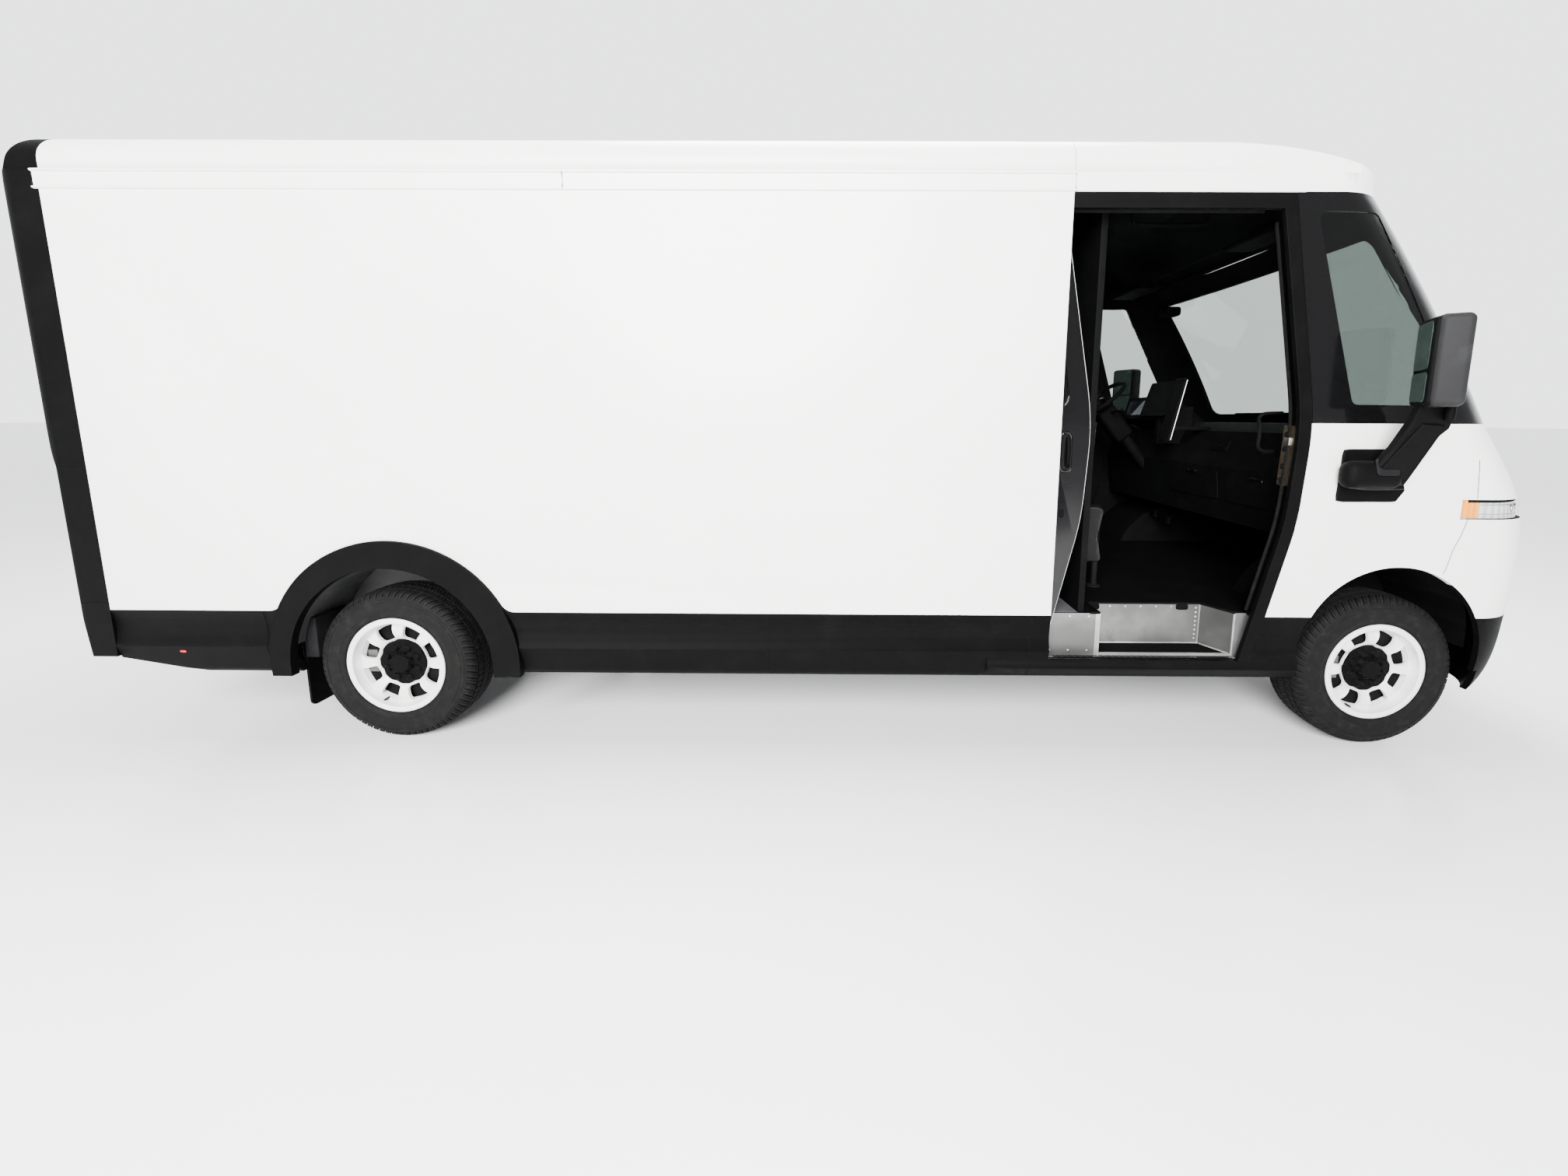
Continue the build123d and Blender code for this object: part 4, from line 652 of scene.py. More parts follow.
def cast(node, starts, ways):
    """Where rays from the starts along the ways first meet a carried-over node; misses are left out."""
    starts, ways = np.broadcast_arrays(np.asarray(starts, float), np.asarray(ways, float))
    tree = tree_of(node)
    found = [tree.ray_cast(Vector(a), Vector(w)) for a, w in zip(starts.reshape(-1, 3), ways.reshape(-1, 3))]
    found = [(place, normal) for place, normal, _, _ in found if place is not None]
    return np.array([place for place, _ in found]), np.array([normal for _, normal in found])


def straight(start, end, steps=12):
    """Evenly spaced points from one place to another."""
    share = np.linspace(0, 1, steps)[:, None]
    return np.asarray(start, float) * (1 - share) + np.asarray(end, float) * share


def swept(section, path):
    """Closed section, rows of (along Y, along Z), carried along a list of places by moving only."""
    section, path = np.asarray(section, float), np.asarray(path, float)
    flat = np.concatenate([np.zeros((len(section), 1)), section], 1)
    rings = path[:, None] + flat[None]
    ends = [rings[k].mean(0)[None, None].repeat(len(section), 1) for k in (0, -1)]
    return np.concatenate([ends[0], rings, ends[1]])


def box_corners(low, high):
    """Corners of an upright rectangle between two points of a plane."""
    return ((low[0], low[1]), (high[0], low[1]), (high[0], high[1]), (low[0], high[1]))


def centred(wide, high):
    """Corners of a rectangle that reaches as far to both sides of the middle."""
    return box_corners((-wide, -high), (wide, high))


def jointed(points, steps):
    """Straight runs from point to point."""
    return np.concatenate([straight(a, b, steps) for a, b in zip(points[:-1], points[1:])])


def unit(*way):
    """Direction of length 1."""
    return np.array(way) / np.linalg.norm(way)


def hit(node, start, way=AHEAD):
    """Place where one ray first meets a carried-over node."""
    return cast(node, [start], way)[0][0]


def baked(context, piece):
    """Mesh of a piece with its modifiers applied."""
    context.view_layer.update()
    return bpy.data.meshes.new_from_object(piece.evaluated_get(context.evaluated_depsgraph_get()))


def refined(context, name, width, sorter, looks_used, angle=math.radians(32)):
    """Copy of a node: doubles merged, flat faces joined, sharp edges rounded, each face given its finish."""
    mesh = NODES[name].data.copy()
    mesh.name = f"rounded_{name}"
    mesh.materials.clear()
    tidy = bmesh.new()
    tidy.from_mesh(mesh)
    bmesh.ops.remove_doubles(tidy, verts=tidy.verts, dist=MERGE)
    bmesh.ops.dissolve_limit(tidy, angle_limit=math.radians(0.6), verts=tidy.verts, edges=tidy.edges)
    tidy.to_mesh(mesh)
    tidy.free()
    piece = bpy.data.objects.new(mesh.name, mesh)
    context.collection.objects.link(piece)
    for key in looks_used:
        mesh.materials.append(LOOKS[key])
    if sorter:
        centre, normal = np.empty((2, len(mesh.polygons) * 3), np.float32)
        mesh.polygons.foreach_get("center", centre)
        mesh.polygons.foreach_get("normal", normal)
        which = sorter(centre.reshape(-1, 3), normal.reshape(-1, 3)).astype(np.int32)
        mesh.polygons.foreach_set("material_index", which)
    mesh.polygons.foreach_set("use_smooth", np.ones(len(mesh.polygons), bool))
    mesh.set_sharp_from_angle(angle=angle)
    if width:
        bevel = piece.modifiers.new("edges", "BEVEL")
        bevel.width, bevel.segments, bevel.limit_method = width, 2, "ANGLE"
        bevel.angle_limit, bevel.harden_normals, bevel.miter_outer = angle, True, "MITER_ARC"
        rounder = baked(context, piece)
        piece.modifiers.clear()
        piece.data = rounder
    return piece


# ------------------------------------------------------------------ wheels
class VanWheels(bpy.types.PropertyGroup):
    """Sizes of the wheels and tyres, in metres from a wheel's own centre."""

    pitches: IntProperty(
        name="Tread pitches", description="Blocks round the tread", default=72, min=24, max=120
    )
    groove: metres("Groove depth", 0.008, "Depth of the tread's grooves", 0.001, 0.02)
    windows: IntProperty(name="Windows", description="Windows in the wheel disc", default=8, min=4, max=16)
    window_in: metres("Window inner radius", 0.1220, "Radius of the windows' inner edge")
    window_out: metres("Window outer radius", 0.1960, "Radius of the windows' outer edge")
    cap: metres("Cap radius", 0.116, "Radius of the hub cap")


def wheel_centre(end, hand):
    """Middle of a wheel, from its tyre's box."""
    low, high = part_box(f"tyre_{end}_{hand}")
    return np.array((low + high) / 2)


TREAD_ROWS = (
    # reach, radius, cut: 0 none, 1 shoulder groove, 2 rib sipe, 3 groove round the tyre
    (0.0955, 0.2250, 0), (0.0975, 0.2360, 0), (0.1000, 0.2420, 0), (0.1010, 0.2435, 0), (0.1035, 0.2440, 0),
    (0.1075, 0.2550, 0), (0.1100, 0.2650, 0), (0.1104, 0.2655, 0), (0.1118, 0.2665, 0), (0.1124, 0.2850, 0),
    (0.1124, 0.3000, 0), (0.1116, 0.3130, 0), (0.1100, 0.3145, 0), (0.1092, 0.3230, 0), (0.1106, 0.3240, 0),
    (0.1100, 0.3290, 0), (0.1084, 0.3300, 0), (0.1050, 0.3390, 0), (0.1046, 0.3395, 1), (0.1022, 0.3480, 1),
    (0.0985, 0.3545, 1), (0.0930, 0.3605, 1), (0.0860, 0.3650, 1), (0.0760, 0.3680, 1), (0.0660, 0.3695, 1),
    (0.0655, 0.3696, 3), (0.0570, 0.3704, 3), (0.0565, 0.3705, 2), (0.0430, 0.3716, 2), (0.0290, 0.3723, 2),
    (0.0285, 0.3723, 3), (0.0205, 0.3726, 3), (0.0200, 0.3727, 2), (0.0070, 0.3729, 2),
)


def tyre_grid(p, centre, sign):
    """Tyre: rows follow the section from bead to bead and sink where a groove lies; each pitch of the tread
    repeats the same nine columns, slanted and shifted from rib to rib."""
    rows = np.array(TREAD_ROWS)
    rows = np.concatenate([rows, rows[::-1] * [-1, 1, 1]])
    reach, radius, cut = rows.T
    along = np.gradient(rows[:, :2], axis=0)
    along /= np.linalg.norm(along, axis=1)[:, None]
    normal = np.stack([-along[:, 1], along[:, 0]], -1)
    share = np.array([0, 0.03, 0.17, 0.20, 0.44, 0.46, 0.51, 0.53, 0.78])
    shoulder = np.array([0, 1, 1, 0, 0, 0.4, 0.4, 0, 0])
    sipe = np.array([0, 0.35, 0.35, 0, 0, 0.7, 0.7, 0, 0])
    depth = np.stack([0 * share, shoulder, sipe, 0 * share + 1])[cut.astype(int)]
    fade = np.clip((radius - 0.338) / 0.012, 0, 1)[:, None]
    depth = np.tile(depth, p.pitches) * p.groove * fade
    pitch = TURN / p.pitches
    angle = ((np.arange(p.pitches)[:, None] + share[None]) * pitch).ravel()
    slant = 0.55 * np.sin(reach / 0.066 * 2.2) + 0.5 * (np.abs(reach) < 0.061) + 0.5 * (
        np.abs(reach) < 0.0245
    )
    angle = angle[None] + slant[:, None] * pitch
    w = reach[:, None] + normal[:, :1] * depth
    r = radius[:, None] + normal[:, 1:] * depth
    return wheel_points(w, r, angle, centre, sign)


RIM_PROFILE = (
    (
        0.1050, 0.2080
    ), (0.1072, 0.2120), (0.1082, 0.2220), (0.1078, 0.2290), (0.1055, 0.2332), (0.1015, 0.2345),
    (0.0982, 0.2325), (0.0975, 0.2160), (0.0800, 0.2160), (0.0600, 0.2000), (
        -0.0600, 0.2000
    ), (-0.0800, 0.2160),
    (-0.0975, 0.2160), (-0.0985, 0.2330), (-0.1040, 0.2340), (-0.1070, 0.2280), (-0.1075, 0.2160),
    (-0.1050, 0.2085), (-0.0770, 0.2085), (-0.0570, 0.1925), (0.0540, 0.1925), (0.0720, 0.2070),
)


def disc_height(radius):
    """Reach of the wheel disc's face at a radius: a dish round the hub and a crest through the windows."""
    knots = (0.0, 0.095, 0.106, 0.120, 0.138, 0.160, 0.182, 0.194, 0.203, 0.212)
    reach = (0.044, 0.044, 0.046, 0.058, 0.069, 0.073, 0.069, 0.062, 0.061, 0.069)
    return curve(knots, reach, radius)


def disc_sector(p, centre, sign, number):
    """One window and the wedge of disc round it: t runs from the window's turned-in edge to the wedge's
    outline, s runs round both, and a lip rises beside the window and fades out with t."""
    half = math.pi / p.windows
    r0, r1, inner, outer = 0.100, 0.207, 0.0310, 0.0460
    corners = ((-outer, p.window_out), (outer, p.window_out), (inner, p.window_in), (-inner, p.window_in))
    hole = rounded(corners, 0.013, 14)
    hole = np.stack([np.arctan2(hole[:, 0], hole[:, 1]), np.hypot(hole[:, 0], hole[:, 1])], -1)
    turn = np.array([(-half, r1), (half, r1), (half, r0), (-half, r0), (-half, r1)])
    place = np.linspace(0, 4, len(hole), endpoint=False)
    wedge = np.stack([np.interp(place, np.arange(5), turn[:, k]) for k in (0, 1)], -1)
    t = np.array([0, 0, 0, 0.03, 0.08, 0.15, 0.24, 0.36, 0.5, 0.7, 1.0])[:, None, None]
    lip = np.array([-0.012, -0.004, 0.0015, 0.0032, 0.0036, 0.0030, 0.0016, 0.0005, 0, 0, 0])[:, None]
    polar = hole[None] * (1 - t) + wedge[None] * t
    reach = disc_height(polar[..., 1]) + lip
    middle = 2 * half * (number + 0.5)
    return wheel_points(reach, polar[..., 1], polar[..., 0] + middle, centre, sign)


def cap_grid(p, centre, sign):
    """Hub cap: a scalloped cup with a domed cover over each nut and a raised round boss in the middle."""
    share = np.concatenate(
        [[0], np.linspace(0.1, 0.46, 5), np.linspace(0.48, 0.53, 4), np.linspace(0.56, 0.97, 16), [1, 1]]
    )
    a = np.linspace(0, TURN, 192, endpoint=False)
    edge = p.cap * (1 + 0.030 * np.cos(p.windows * a) - 0.012 * np.cos(2 * p.windows * a))
    radius = share[:, None] * edge[None]
    lobe = (a * p.windows / TURN) % 1 - 0.5
    aside = lobe * TURN / p.windows * radius
    nut = 1 - eased((np.hypot(aside, radius - 0.079) - 0.013) / 0.008)
    boss = 1 - eased((radius - 0.050) / 0.005)
    rim = eased((share[:, None] - 1) / -0.06)
    groove = np.exp(-(((radius - 0.066 - 0.004 * np.cos(p.windows * a)) / 0.003) ** 2))
    reach = 0.046 + 0.014 * rim + np.maximum(0.024 * boss, 0.013 * nut * rim) - 0.002 * groove * rim
    reach[0] -= 0.001
    reach[-1] = 0.043
    return wheel_points(reach, radius, a[None], centre, sign)


class VAN_OT_tyres(bpy.types.Operator):
    """Tyres with cut tread, shoulder blocks and ribbed walls."""

    bl_idname = "van.tyres"
    bl_label = "Tyres"

    def execute(self, context):
        p = context.scene.van_wheels
        for end, hand, sign in WHEELS:
            shell = Shell().grid(tyre_grid(p, wheel_centre(end, hand), sign), along=True)
            node = f"tyre_{end}_{hand}"
            add_piece(
                shell, f"treaded_{node}", f"wheel_{end}_{hand}", "rubber", "tyre_rubber", [node], sharp=28
            )
        return {"FINISHED"}


class VAN_OT_wheels(bpy.types.Operator):
    """Pressed steel wheels with windows, hub caps, valves and brake discs."""

    bl_idname = "van.wheels"
    bl_label = "Wheels"

    def execute(self, context):
        p = context.scene.van_wheels
        for end, hand, sign in WHEELS:
            centre = wheel_centre(end, hand)
            body = f"wheel_{end}_{hand}"
            steel = Shell().grid(turned(RIM_PROFILE, centre, sign, 96), along=True)
            for number in range(p.windows):
                steel.grid(disc_sector(p, centre, sign, number))
            # near-black sheet just inboard of the disc that closes its windows: painted shade inside the
            # wheel
            ring = ((0.034, 0.100), (0.039, 0.100), (0.039, 0.2065), (0.034, 0.2065))
            steel.grid(turned(ring, centre, sign, 72), along=True, look=1)
            add_piece(steel, f"pressed_{body}", body, "wheel dark", "wheel_white", [body], sharp=40)
            cap = Shell().grid(cap_grid(p, centre, sign))
            add_piece(cap, f"hub_cap_{end}_{hand}", body, "cladding", "black_gloss", sharp=50)
            disc = (
                (0.014, 0.034), (0.014, 0.150), (0.030, 0.150), (0.030, 0.078), (0.041, 0.072),
                (0.041, 0.034),
            )
            brake = Shell().grid(turned(disc, centre, sign, 72), along=True)
            add_piece(brake, f"brake_disc_{end}_{hand}", body, "steel", "cast_metal")
            stem = wheel_points(np.array([0.055, 0.082, 0.0825, 0.092]), 0.2, math.radians(205), centre, sign)
            valve = Shell().tube(stem, (0.005, 0.005, 0.0042, 0.0042), 10)
            add_piece(valve, f"valve_{end}_{hand}", body, "gloss", "black_gloss")
        return {"FINISHED"}


# ------------------------------------------------------------------ body panels
class VanBody(bpy.types.PropertyGroup):
    """Sizes of the body's panel edges, seams and rails, in metres."""

    edge: metres("Edge radius", 0.003, "Round edge of the body panels", 0.0, 0.02)
    seam: metres("Seam", 0.004, "Width of the gaps between panels", 0.001, 0.01)
    rail: metres("Roof rail", 0.009, "Reach of the drip rails from the roof's side", 0.002, 0.02)


def inner_faces(inside):
    """Sorter: 1 for faces turned towards a line at a height that runs forward to the cab's middle, else 0."""
    def sort(centre, normal):
        away = centre - np.array([2.4, 0, inside])
        away[:, 0] = np.maximum(away[:, 0], 0)
        return (normal * away).sum(1) < -0.02 * np.linalg.norm(away, axis=1)
    return sort


def wall_faces(centre, normal):
    """Sorter of a side wall: 0 painted skin, 1 lining, 2 dark front edge."""
    within = np.abs(centre[:, 1]) < 1.088
    return np.where(within, np.where(centre[:, 0] > 1.13, 2, 1), 0)


def floor_faces(centre, normal):
    """Sorter of the cab floor: 0 bare metal of the step wells, 1 rubber covering, 2 coated underside."""
    top = (normal[:, 2] > 0.5) & (centre[:, 2] > 0.63)
    under = (np.abs(centre[:, 1]) < 0.862) & (centre[:, 2] < 0.63)
    firewall = centre[:, 0] > 2.9
    return np.where(top, 1, np.where(under | firewall, 2, 0))


def housing_faces(centre, normal):
    """Sorter of the wheel housings: 0 coated liner of the rear ones, 1 dark liner of the front ones,
    near-black to paint the shade deep in the front arches.
    """
    return np.where(centre[:, 0] > 0, 1, 0)


def lamp_faces(centre, normal):
    """Sorter of the lamps: 0 clear at the front, 1 red and 2 amber in the rear lamps."""
    return np.where(centre[:, 0] > 0, 0, np.where(centre[:, 2] > 1.24, 2, 1))


PANELS = (
    # node, edge radius share, sorter, finishes, slot
    ("cargo_wall", 1, wall_faces, "white liner cladding", "white_paint"),
    ("door_frame", 1, None, "cladding", "black_gloss"),
    ("side_skirt", 1, None, "cladding", "black_cladding"),
    ("sliding_door", 1, None, "gloss", "black_gloss"),
    ("mudflap", 1, None, "cladding", "black_cladding"),
    ("cargo_roof", 0, inner_faces(1.6), "white liner", "white_paint"),
    ("cab_roof", 0, inner_faces(1.6), "white trim", "white_paint"),
    ("nose_panel", 0, inner_faces(1.2), "white trim", "white_paint"),
    ("windscreen_surround", 0, inner_faces(1.8), "gloss trim", "black_gloss"),
    ("front_bumper", 0, None, "cladding", "black_cladding"),
    ("cab_floor", 0.5, floor_faces, "alloy mat frame", "step_aluminium"),
    ("cargo_floor", 1, None, "floor", "floor_grey"),
    ("bulkhead", 1, None, "trim", "interior_grey"),
    ("rear_frame", 1.6, None, "cladding", "black_cladding"),
    ("rear_door", 1, None, "white", "white_paint"),
    ("rear_step", 1.6, None, "cladding", "black_cladding"),
    ("battery_pack", 2, None, "case", "case_grey"),
    ("drive_unit", 2, None, "case", "case_grey"),
    ("wheel_housings", 1, housing_faces, "zinc trim", "frame_steel"),
)


class VAN_OT_shell(bpy.types.Operator):
    """Body panels, floors and cases with rounded edges, each face in its own finish."""

    bl_idname = "van.shell"
    bl_label = "Body panels"

    def execute(self, context):
        p = context.scene.van_body
        for stem, share, sorter, finishes, slot in PANELS:
            names = [stem] if stem in NODES else [f"{stem}_{hand}" for hand, _ in SIDES]
            for name in names:
                width = p.edge * share
                piece = refined(context, name, width, sorter, finishes.split())
                hand = name.rsplit("_", 1)[-1]
                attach(piece, f"side_door_{hand}" if stem == "sliding_door" else "van")
                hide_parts(name)
        piece = refined(context, "lamps", 0, lamp_faces, ("clear", "red", "amber"))
        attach(piece, "van")
        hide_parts("lamps")
        return {"FINISHED"}


def corner_rays(height):
    """Ray starts and ways round a rear corner at one height, from the side to the rear."""
    angle = np.linspace(0.02, 0.98, 9) * math.pi / 2
    way = np.stack([-np.sin(angle), np.cos(angle), 0 * angle], -1)
    return np.array([-3.338, 0.990, height]) + 0.6 * way, -way


class VAN_OT_lines(bpy.types.Operator):
    """Panel seams, drip rails and side markers."""

    bl_idname = "van.lines"
    bl_label = "Seams and rails"

    def execute(self, context):
        p = context.scene.van_body
        for hand, sign in SIDES:
            side, inwards = np.array([1, sign, 1]), (0, -sign, 0)
            seams = Shell()
            for x, low in ((-0.175, 0.350), (-2.520, 0.395), (1.045, 0.350)):
                z = np.linspace(low, 0.655, 40)
                start = np.stack([x + 0 * z, 1.4 + 0 * z, z], -1) * side
                path, _ = cast(f"side_skirt_{hand}", start, inwards)
                seams.tube(path, p.seam / 2, 6)
            for z, share in ((0.690, 1), (1.318, 1), (1.343, 0.5)):
                flat = np.stack([np.linspace(-3.232, -3.33, 6), np.full(6, 1.5), np.full(6, z)], -1) * side
                path = [cast("rear_frame", flat, inwards)[0]]
                start, way = corner_rays(z)
                path.append(cast("rear_frame", start * side, way * side)[0])
                back = np.stack([np.full(5, -3.6), np.linspace(1.0, 0.955, 5), np.full(5, z)], -1) * side
                path.append(cast("rear_frame", back, AHEAD)[0])
                seams.tube(np.concatenate(path), p.seam * share / 2, 6)
            for points in NOSE_SEAMS:
                rough = smooth_path(points, 10) * side
                away = (rough - (2.55, 0.55 * sign, 1.1)) * (1, 1, 0.15)
                away /= np.linalg.norm(away, axis=1)[:, None]
                path, _ = cast("nose_panel", rough + away * 0.35, -away)
                seams.tube(path, p.seam * 0.35, 6)
            add_piece(seams, f"seams_{hand}", "van", "dark", "black_cladding")

            wall, out = 1.0995, 1.0995 + p.rail
            section = (
                (wall, 2.500), (out, 2.503), (out, 2.509), (1.1005, 2.513), (1.1005, 2.568),
                (out, 2.572), (out, 2.578), (wall, 2.583), (1.089, 2.584), (1.089, 2.500),
            )
            rail = Shell()
            for x0, x1 in ((-3.245, -1.0105), (-1.0095, 1.1385)):
                rail.grid(swept(section, straight((x0, 0, 0), (x1, 0, 0), 4)) * side)
            section = ((wall, 2.5005), (1.104, 2.504), (1.104, 2.512), (wall, 2.516), (1.095, 2.5085))
            rail.grid(swept(section, straight((1.143, 0, 0), (2.10, 0, 0), 12)) * side)
            add_piece(rail, f"drip_rail_{hand}", "van", "white", "white_paint", sharp=30)

            marker = Shell(sign)
            tilt = (0, 0.33, 0.944)
            spot = hit(f"side_skirt_{hand}", (-2.936, sign * 1.3, 0.4545), inwards) * side
            for shift, half, look in (
                ((0, -0.002, 0), (0.108, 0.011), 0), ((0.012, 0.001, 0), (0.015, 0.007), 1)
            ):
                place = spot + shift
                marker.panel(centred(*half), half[1] * 0.8, 0.006, place, AHEAD, tilt, look=look, steps=4)
            add_piece(marker, f"side_marker_{hand}", "van", "gloss red", "lamp_clear")
        return {"FINISHED"}


NOSE_SEAMS = (
    ((2.978, 1.1, 1.114), (2.959, 1.1, 1.043), (2.934, 1.1, 0.979), (2.920, 1.1, 0.915), (2.905, 1.1, 0.865)),
    ((2.992, 1.1, 1.385), (2.999, 1.1, 1.320), (3.008, 1.1, 1.212)),
)


# ------------------------------------------------------------------ mirrors
class VanMirrors(bpy.types.PropertyGroup):
    """Shape of the door mirrors."""

    turn: FloatProperty(name="Turn", description="Degrees the glass turns to the driver", default=30.0)
    lean: FloatProperty(name="Lean", description="Degrees the arm leans outwards", default=18.5)
    high: metres("Height", 0.360, "Height of the mirror's head")


def head_points(points, p):
    """Points of the mirror's head: x ahead of its glass, y outboard, z up, turned and put in place."""
    a = math.radians(p.turn)
    x = points[..., 0] * math.cos(a) - points[..., 1] * math.sin(a)
    y = points[..., 0] * math.sin(a) + points[..., 1] * math.cos(a)
    return np.stack([x, y, points[..., 2]], -1) + MIRROR_HEAD


MIRROR_HEAD = (2.580, 1.280, 1.792)  # middle of the head
MIRROR_FOOT = 1.322  # height about which the arm leans
MIRROR_ARM = (
    (2.440, 1.325), (2.612, 1.268), (2.660, 1.490), (2.685, 1.522), (2.683, 1.575), (2.652, 1.632),
    (2.524, 1.632), (2.520, 1.548), (2.493, 1.436),
)
MIRROR_RIDGE = (
    (2.470, 1.345), (2.600, 1.290), (2.640, 1.480), (2.655, 1.540), (2.560, 1.545), (2.500, 1.420)
)
# rows of holes in the base: heights, first and last place along the van, holes in a row
MIRROR_HOLES = (
    ((1.418, 1.408, 1.398, 1.388), 2.520, 2.580, 6),
    ((1.240, 1.230, 1.220, 1.210), 2.478, 2.606, 12),
)


class VAN_OT_mirrors(bpy.types.Operator):
    """Door mirrors: perforated base, round pod, flat arm, grained cap and two glasses."""

    bl_idname = "van.mirrors"
    bl_label = "Mirrors"

    def execute(self, context):
        p = context.scene.van_mirrors
        lean = math.radians(p.lean)
        up = np.array([0, math.sin(lean), math.cos(lean)])
        for hand, sign in SIDES:
            mirror = Shell(sign)
            base = ((2.381, 1.431), (2.604, 1.432), (2.671, 1.250), (2.635, 1.197), (2.371, 1.196))
            mirror.panel(base, 0.012, 0.014, (0, 1.114, 0), AHEAD, UP, bevel=0.004)
            mirror.box((2.349, 1.105, 1.260), (2.597, 1.191, 1.384), 0.042, 6)
            # lip under the pod, then the switch plate on its shoulder
            lip = ((2.372, 1.165, 1.268), (2.41, 1.187, 1.262), (2.50, 1.191, 1.2615), (2.588, 1.187, 1.264))
            mirror.bent(lip, 0.0018, 8, 8, look=1)
            facet = box_corners((2.458, -0.034), (2.552, 0.040))
            mirror.panel(
                facet, 0.008, 0.010, (0, 1.1935, 1.358), AHEAD, (0, -0.28, 0.96), bevel=0.003, look=2
            )
            for outline, thick, out, bevel in (
                (MIRROR_ARM, 0.042, 1.183, 0.009), (MIRROR_RIDGE, 0.008, 1.188, 0.006)
            ):
                flat = [(x, (z - MIRROR_FOOT) / math.cos(lean)) for x, z in outline]
                mirror.panel(flat, 0.010, thick, (0, out, MIRROR_FOOT), AHEAD, up, bevel=bevel, steps=6)
            post = np.array([(0, 0, 1.560), (0, 0, 1.566), (0, 0, 1.612), (0, 0, 1.616)]) + (2.632, 1.287, 0)
            mirror.tube(post, (0.016, 0.018, 0.018, 0.016), 24)

            # head: cap, bezel and two glasses
            cap = block((-0.052, -0.100, -p.high / 2), (0.062, 0.096, p.high / 2), 0.026, 6)
            swell = 1 - (cap[..., 2:] / p.high) ** 2 * 0.28
            cap = cap * np.concatenate([swell, 1 + 0 * swell, 1 + 0 * swell], -1)
            mirror.grid(head_points(cap, p), look=1)
            bezel = block((-0.060, -0.094, 0.006 - p.high / 2), (-0.012, 0.086, p.high / 2 - 0.008), 0.014, 5)
            mirror.grid(head_points(bezel, p))
            for low, high in ((-0.032, p.high / 2 - 0.022), (0.020 - p.high / 2, -0.042)):
                flat = rounded(box_corners((-0.084, low), (0.074, high)), 0.016, 8)
                rings = plate(flat, 0.0035, 0.0015, (0, 0, 0), LEFT, UP)
                rings = rings * (-1, 1, 1) + (-0.0585, 0, 0)
                mirror.grid(head_points(rings, p), look=4)
            for rows, left, right, count in MIRROR_HOLES:
                for number, z in enumerate(rows):
                    for x in np.linspace(left, right, count) + 0.004 * (number % 2):
                        hole = np.array([(x, 1.112, z), (x, 1.1146, z), (x, 1.1147, z)])
                        mirror.tube(hole, (0.0032, 0.0032, 0.0001), 6, look=5)
            add_piece(
                mirror, f"door_mirror_{hand}", "van", "cladding cap frame gloss mirror dark",
                "black_cladding", [f"mirror_{hand}"], sharp=40,
            )
        return {"FINISHED"}


# ------------------------------------------------------------------ doors and steps
class VanDoors(bpy.types.PropertyGroup):
    """Sizes of the door fittings and the entrance steps, in metres."""

    slid: metres("Slid back", 0.920, "How far the right door stands open")
    edge_bead: metres("Edge bead", 0.0022, "Radius of the door's leading edge bead", 0.001, 0.02)
    tread: metres("Tread", 0.435, "Height of the entrance steps")


DOOR_TRIM = ((1.20, 0.672), (2.035, 0.672), (2.10, 1.10), (2.12, 1.50), (1.20, 1.50))
DOOR_FIELD = ((1.28, 0.73), (1.975, 0.73), (2.03, 1.08), (2.04, 1.20), (1.28, 1.20))


def front_edge(hand, out):
    """Leading edge of a side door at a distance from the van's middle, found from ahead."""
    sign = 1 if hand == "left" else -1
    z = np.linspace(0.470, 2.440, 60)
    start = np.stack([2.6 + 0 * z, sign * out + 0 * z, z], -1)
    if hand == "right":
        start[:, 0] = 1.6
    return cast(f"sliding_door_{hand}", start, BACK)[0] * (1, sign, 1)


